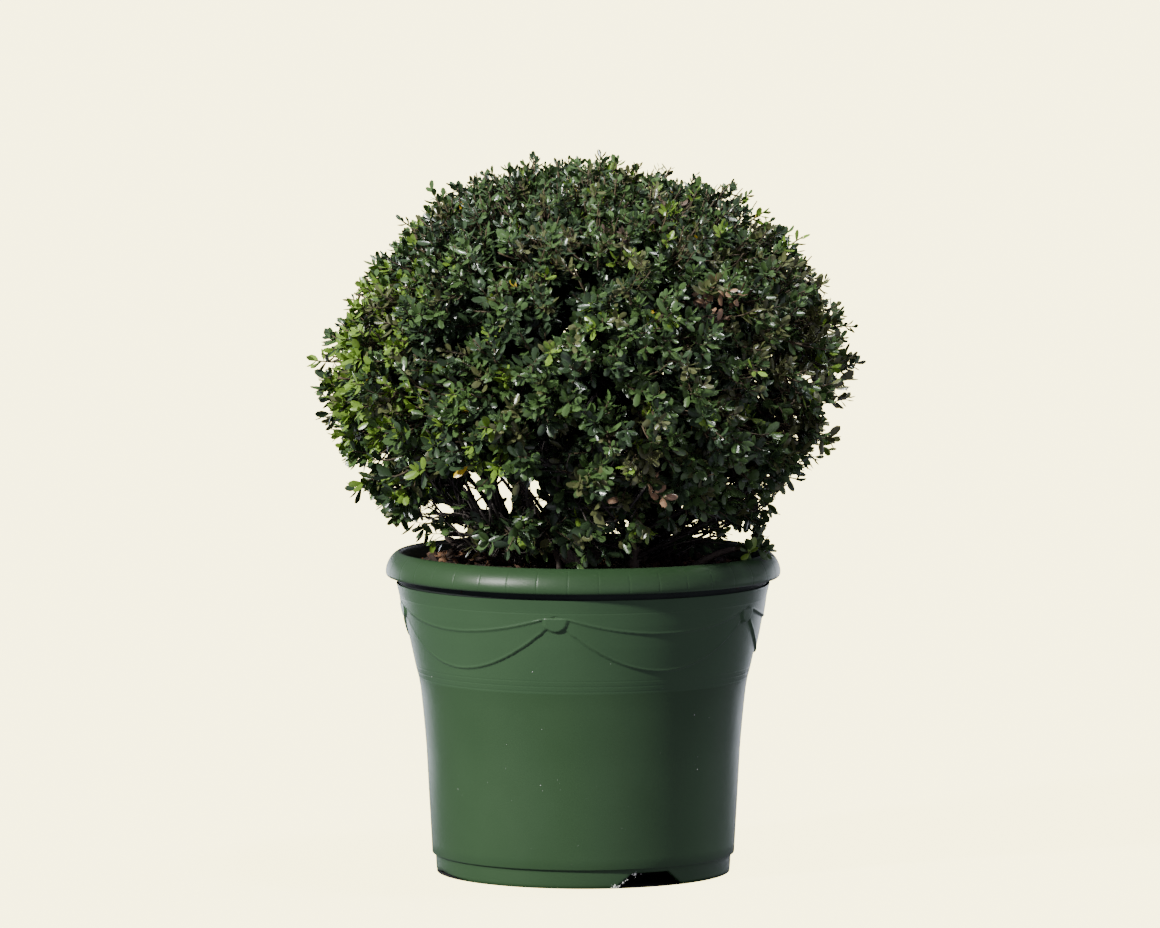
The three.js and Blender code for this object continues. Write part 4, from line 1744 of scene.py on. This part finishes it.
    def flecks(self, places: np.ndarray, sizes: np.ndarray, seed: float) -> Surface:
        """Makes small uneven six-sided flakes that lie on places of the pot's wall.

        Each corner lies at size (cos a, sin a) times a share between 0.6 and 1.2, square to the axis' spoke,
        and the middle stands out by a third of the size.

        Args:
            places: the middle of each flake.
            sizes: its reach in millimetres.
            seed: the seed of its shape.

        Returns:
            The surface.
        """
        n = np.arange(len(places))[:, None]
        angle = np.arange(6)[None] * math.pi / 3 + TURN * seeded(n, seed)
        out = unit(places * np.array([1.0, 1.0, 0.0]))[:, None]
        side = np.cross(UP, out)
        far = sizes[:, None] * between(n * 6 + np.arange(6)[None], seed + 1, 0.6, 1.2)
        x, z = far * np.cos(angle), far * np.sin(angle)
        corners = places[:, None] + side * x[..., None] + UP * z[..., None]
        tops = places[:, None] + out * sizes[:, None, None] / 3
        points = np.concatenate([corners - out * 0.4, tops], axis=1)
        j = np.arange(6)
        fan = np.stack([np.full(6, 6), j, (j + 1) % 6], axis=-1)
        base = np.array([[5, 4, 3, 2], [5, 2, 1, 0]])
        return Surface().add(points, repeated(points, fan, base))

    def dust(self) -> Surface:
        """Makes the pale specks of dust on the wall.

        Returns:
            The surface.
        """
        n = np.arange(self.specks)
        places = self.skin(between(n, 141, -180, 180), between(n, 142, *self.dusty))
        smallest, more = self.speck_size
        return self.flecks(places, smallest + more * seeded(n, 143) ** 2, 144)

    def torn_edge(self) -> Surface:
        """Makes the whitish torn flakes at the left corners of each notch.

        Returns:
            The surface.
        """
        n = np.arange(self.flakes)
        notch = np.array(self.notches)[n % len(self.notches)]
        rise = np.clip(0.5 + 0.75 * between(n, 151, -1, 1), 0, 1)
        begin, run = self.torn_along
        turn = notch + begin + run * rise + self.torn_scatter * between(n, 152, -1, 1) ** 3
        height = self.notch_height * rise + self.torn_scatter * between(n, 153, -1, 1) ** 3
        smallest, more = self.torn_size
        places = ring_of(turn, np.full(len(n), self.foot_radius + 0.6), np.maximum(height, 0.8))
        return self.flecks(places, smallest + more * seeded(n, 155) ** 2, 156)

    def build(self, finishes: Finishes) -> None:
        """Builds the three pieces of the pot, and the dust and flakes on it.

        Args:
            finishes: the materials.
        """
        self.dust().piece("pale_dust", [finishes.torn], ["pot"], "pot")
        self.torn_edge().piece("torn_edge", [finishes.torn], ["pot"], "pot")
        self.body().piece("pot_body", [finishes.plastic], ["pot"], "pot")
        self.band().piece("pot_swag_band", [finishes.pale_plastic], ["pot"], "pot")
        self.rolled_rim().piece("pot_rim", [finishes.plastic, finishes.grime], ["pot"], "pot")


@dataclass
class Soil:
    """The bark mix: an uneven bed, lower along the pot's wall, with loose bark chips on it.

    The mound is its place, half width and height. Lumps are a height, a length and a seed, and a sunny
    stretch is a place across, a half width and an amount; redder chips are dealt more often there, as painted
    sunlight.
    """

    top: float = SOIL_TOP
    flat_radius: float = 150
    edge_radius: float = 206.2
    dip: float = 8
    mound: tuple[float, float, float, float] = (-140, 20, 60, 11)
    lumps: Table = ((2.2, 60, 71), (1.4, 14, 72))
    rings: int = 90
    columns: int = 300
    chips: int = 3200
    long: Pair = (4, 13)
    wide: Pair = (2.2, 6)
    thick: Pair = (0.8, 2.6)
    sunny: Table = ((-150, 90, 1), (-25, 16, 0.6))
    kind_steps: Pair = (0.72, 0.9)

    def height(self, across: np.ndarray) -> np.ndarray:
        """Gives the bed's height: level, then lower to the wall, with lumps and one low mound.

        Args:
            across: the points, whose own heights are passed over.

        Returns:
            One height for each point.
        """
        flat = np.hypot(across[..., 0], across[..., 1])
        fall = self.dip * smooth_step((flat - self.flat_radius) / (self.edge_radius - self.flat_radius))
        level = np.stack([across[..., 0], across[..., 1], 0 * flat], axis=-1)
        x, y, wide, high = self.mound
        mound = high * np.exp(-((np.hypot(across[..., 0] - x, across[..., 1] - y) / wide) ** 2))
        height = self.top - fall + mound
        for rise, length, seed in self.lumps:
            height = height + rise * waves(level, length, seed)
        return height

    def bed(self) -> Surface:
        """Makes the bed, a grid of rings round its middle.

        Returns:
            The surface.
        """
        radius = np.linspace(2, self.edge_radius, self.rings)[:, None]
        turn = np.arange(self.columns)[None, :] * 360 / self.columns
        points = ring_of(turn, radius, 0 * radius)
        points[..., 2] = self.height(points)
        middle = (0, 0, float(self.height(np.zeros(3))))
        faces = grid_faces(self.rings, self.columns, True)[:, ::-1]
        return Surface().add(points, [faces]).lid(middle, points[0], True)

    def chip_blocks(self) -> Surface:
        """Makes the chips: blocks with uneven corners that lie nearly flat, a few tipped up.

        Returns:
            The surface, with redder chips dealt more often where the sun reaches: painted sunlight.
        """
        n = np.arange(self.chips)
        radius = (self.edge_radius - 5) * np.sqrt(seeded(n, 73))
        place = ring_of(360 * seeded(n, 74), radius, 0 * radius)
        sizes = zip((75, 76, 77), (self.long, self.wide, self.thick))
        size = np.stack([between(n, k, *ends) for k, ends in sizes], axis=-1)
        place[:, 2] = self.height(place) + size[:, 2] * between(n, 78, 0.2, 1.4)
        signs = np.array([[x, y, z] for z in (-1, 1) for y in (-1, 1) for x in (-1, 1)], float)
        corner = np.arange(8)[None, :] + 8 * n[:, None]
        uneven = np.stack([between(corner, k, 0.55, 1.1) for k in (81, 82, 83)], axis=-1)
        shape = signs * size[:, None] * uneven
        tip = np.radians(between(n, 84, -1, 1) ** 3 * 60)
        spin = 2 * math.pi * seeded(n, 85)
        ahead = np.stack([np.cos(spin) * np.cos(tip), np.sin(spin) * np.cos(tip), np.sin(tip)], axis=-1)
        side = unit(np.cross(UP, ahead))
        roll = np.radians(between(n, 86, -25, 25))[:, None]
        over = np.cross(ahead, side)
        side, over = side * np.cos(roll) + over * np.sin(roll), over * np.cos(roll) - side * np.sin(roll)
        points = place[:, None] + np.einsum("nkc,ncd->nkd", shape, np.stack([ahead, side, over], axis=1))
        block = np.array([[0, 2, 3, 1], [4, 5, 7, 6], [0, 1, 5, 4], [2, 6, 7, 3], [0, 4, 6, 2], [1, 3, 7, 5]])
        # Painted sunlight: the red chips are dealt more often in the sunny stretches.
        lit = sum(much * np.exp(-(((place[:, 0] - x) / wide) ** 2)) for x, wide, much in self.sunny)
        kind = np.digitize(seeded(n, 87) * (0.9 + 0.35 * lit), self.kind_steps)
        return Surface().add(points, repeated(points, block), np.repeat(kind, len(block)))

    def build(self, finishes: Finishes) -> None:
        """Builds the bed and the chips."""
        self.bed().piece("soil_bed", [finishes.soil], ["soil"], "soil")
        self.chip_blocks().piece("bark_chips", finishes.chips, ["soil"], "soil")


@dataclass
class Limbs:
    """The trunk, its boughs, the stems of the lower masses and the small limbs, with the bark's relief."""

    crown: Crown
    fork: Triple = (-5, 0, 400)
    trunk_radius: float = 24.5
    flare: float = 0.5
    bough_ring: float = 16.5
    bough_start: float = 392
    bough_foot: float = 6.6
    stem_foot: float = 8.5
    tip: float = 4.6
    bend: float = 0.42
    sides: int = 20
    steps: int = 28
    relief: float = 0.16
    # Limbs given the paler bark: painted sunlight, as if the low key light reached them; the cut stub is also
    # weathered grey.
    painted_sunlit: tuple[str, ...] = ("cut_stub", "stem_lower_front")

    def limb(self, start: np.ndarray, mass: Mass, thick: float) -> Twigs:
        """Gives the curve of a limb that enters its mass along the way to the mass's hub.

        Args:
            start: its foot.
            mass: the mass that it carries.
            thick: its radius at the foot.

        Returns:
            The limb.
        """
        end = self.crown.entry(mass)
        entering = unit(self.crown.hub(mass) - end)
        middle = end - entering * self.bend * np.linalg.norm(end - start)
        sizes = np.array([thick]), np.array([self.tip])
        return Twigs(start[None], middle[None], end[None], *sizes, np.zeros(1, int))

    def trunk(self) -> Twigs:
        """Gives the trunk's line, with its radius at the fork; the flare widens its foot.

        Returns:
            A single curve.
        """
        start, end = np.array([[0.0, 0.0, SOIL_TOP - CUT_OFF]]), np.array([self.fork], float)
        size = np.array([self.trunk_radius])
        return Twigs(start, (start + end) / 2, end, size, size, np.zeros(1, int))

    def curves(self) -> dict[str, Twigs]:
        """Gives the curves of all limbs.

        Returns:
            One curve for each node's name.
        """
        limbs = {"trunk": self.trunk()}
        for mass in MASSES:
            if mass.foot is None:
                ring = direction(mass.turn, 0) * (self.bough_ring if mass.above < 90 else 0)
                start = ring + np.array([self.fork[0], self.fork[1], self.bough_start])
                limbs[f"bough_{mass.name}"] = self.limb(start, mass, self.bough_foot)
            else:
                start = np.array([*mass.foot, SOIL_TOP - CUT_OFF], float)
                limbs[f"stem_{mass.name}"] = self.limb(start, mass, self.stem_foot)
        for low in (CUT_STUB, *SPRAYS):
            limbs[low.name] = low.limb()
        return limbs

    def build(self, finishes: Finishes) -> None:
        """Builds one piece for each limb.

        Args:
            finishes: the materials.
        """
        for name, curve in self.curves().items():
            flare = self.flare if name == "trunk" else 0
            made = Surface().add(*tubes(curve, self.sides, self.steps, self.relief, flare))
            # The paler bark on these limbs is painted sunlight.
            finish = finishes.pale_bark if name in self.painted_sunlit else finishes.bark
            made.piece(f"bark_{name}", [finish], [name], "bark")


@dataclass
class Studio:
    """The camera of the photograph, a pale floor, a strong light from the upper left front and weak fills.

    A sun is given by its name, turn, height in degrees, power, width in degrees and colour, and a panel by
    its turn, height and power in watts.
    """

    distance: float = 10.0
    height: float = 1.34
    aim: Triple = (-0.0037, 0.0, 0.465)
    lens: float = 273.5
    far_clip: float = 1000
    floor_size: float = 400
    floor_base: Triple = (0.25, 0.243, 0.22)
    floor_glow: Triple = (1.0, 0.9, 0.42)
    glow_strength: float = 6.0
    matt: float = 0.9
    shade_radius: float = 0.1672
    shade_ahead: float = 0.004
    shade_above: float = 0.0002
    shade_corners: int = 128
    shade_colour: Triple = (0.012, 0.012, 0.016)
    suns: tuple[tuple[str, float, float, float, float, Triple], ...] = (
        ("key", -53, 28, 5.3, 4, (1.0, 0.985, 0.95)),
        ("overhead", 115, 62, 0.8, 12, (0.98, 0.98, 1.0)),
        ("right", 68, 76, 2.7, 8, (0.98, 0.98, 1.0)),
        ("fill", 22, 8, 0.18, 40, (0.95, 0.92, 1.0)),
        ("side", 62, 10, 0.07, 50, (1.0, 0.9, 0.98)),
    )
    panels: Table = (
        (156, -3, 16),
        (-153, -3, 22),
        (110, -3, 3),
    )
    panel_size: Pair = (1.6, 0.9)
    panel_colour: Triple = (0.86, 0.92, 1.0)
    panel_distance: float = 3.2
    panel_centre: Triple = (0, 0, 0.3)
    sky_colour: Triple = (0.83, 0.79, 1.0)
    sky_strength: float = 0.3

    def build(self) -> None:
        """Builds all of it."""
        self.camera()
        self.floor()
        self.shade()
        self.lights()
        self.sky()

    def camera(self) -> None:
        """Sets the camera in front of the plant, level, looking slightly down."""
        data = bpy.data.cameras.new("camera")
        data.lens = self.lens
        data.clip_end = self.far_clip
        made = placed("camera", data)
        made.location = (self.aim[0], -self.distance, self.height)
        made.rotation_euler = (Vector(self.aim) - made.location).to_track_quat("-Z", "Y").to_euler()
        bpy.context.scene.camera = made

    def sheet(
        self, name: str, corners: np.ndarray, colour: Triple
    ) -> tuple[bpy.types.Object, bpy.types.Node]:
        """Lays a flat matt sheet.

        Args:
            name: its name.
            corners: its corners in metres, anticlockwise from above.
            colour: its colour.

        Returns:
            The sheet and its shader.
        """
        mesh = bpy.data.meshes.new(name)
        mesh.from_pydata(corners.tolist(), [], [tuple(range(len(corners)))])
        finish, shader = new_material(name)
        shader.inputs["Base Color"].default_value = (*colour, 1)
        shader.inputs["Roughness"].default_value = self.matt
        mesh.materials.append(finish)
        return placed(name, mesh), shader

    def floor(self) -> None:
        """Lays the floor: it takes the plant's shadow and glows a little, so that it stays even and pale."""
        corners = np.array([(-1, -1, 0), (1, -1, 0), (1, 1, 0), (-1, 1, 0)]) * self.floor_size / 2
        made, shader = self.sheet("floor", corners, self.floor_base)
        shader.inputs["Specular IOR Level"].default_value = 0
        shader.inputs["Emission Color"].default_value = (*self.floor_glow, 1)
        shader.inputs["Emission Strength"].default_value = self.glow_strength
        made.visible_diffuse = False
        made.visible_glossy = False

    def shade(self) -> None:
        """Lays a dark round patch on the floor under the pot, where no light comes."""
        turn = np.arange(self.shade_corners) * 360 / self.shade_corners
        corners = ring_of(turn, self.shade_radius + 0 * turn, self.shade_above + 0 * turn)
        corners[:, 1] -= self.shade_ahead
        made, _ = self.sheet("floor_shade", corners, self.shade_colour)

    @staticmethod
    def lamp(
        name: str, kind: str, power: float, colour: Triple
    ) -> tuple[bpy.types.Light, bpy.types.Object]:
        """Makes a light.

        Args:
            name: its name.
            kind: SUN or AREA.
            power: its strength, or its watts.
            colour: its colour.

        Returns:
            Its data and its object.
        """
        data = bpy.data.lights.new(name, kind)
        data.energy, data.color = power, colour
        return data, placed(name, data)

    def lights(self) -> None:
        """Sets the far lights, and large soft panels low behind the plant that light the edges of the pot."""
        for name, turn, above, power, wide, colour in self.suns:
            data, made = self.lamp(name, "SUN", power, colour)
            data.angle = math.radians(wide)
            made.rotation_euler = Vector(direction(turn, above)).to_track_quat("Z", "Y").to_euler()
        for turn, above, power in self.panels:
            data, made = self.lamp("panel", "AREA", power, self.panel_colour)
            data.shape = "RECTANGLE"
            data.size, data.size_y = self.panel_size
            towards = Vector(direction(turn, above))
            made.location = towards * self.panel_distance + Vector(self.panel_centre)
            made.rotation_euler = (-towards).to_track_quat("-Z", "Y").to_euler()
            made.visible_diffuse = False

    def sky(self) -> None:
        """Sets an even pale sky."""
        world = bpy.data.worlds.new("sky")
        world.use_nodes = True
        background = world.node_tree.nodes["Background"]
        background.inputs["Color"].default_value = (*self.sky_colour, 1)
        background.inputs["Strength"].default_value = self.sky_strength
        bpy.context.scene.world = world


def main() -> None:
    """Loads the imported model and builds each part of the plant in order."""
    logging.basicConfig(level=logging.INFO, format="%(name)s: %(message)s")
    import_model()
    finishes = Finishes()
    crown = Crown()
    Studio().build()
    Pot().build(finishes)
    Soil().build(finishes)
    Limbs(crown).build(finishes)
    crown.build(finishes)


if __name__ == "__main__":
    main()
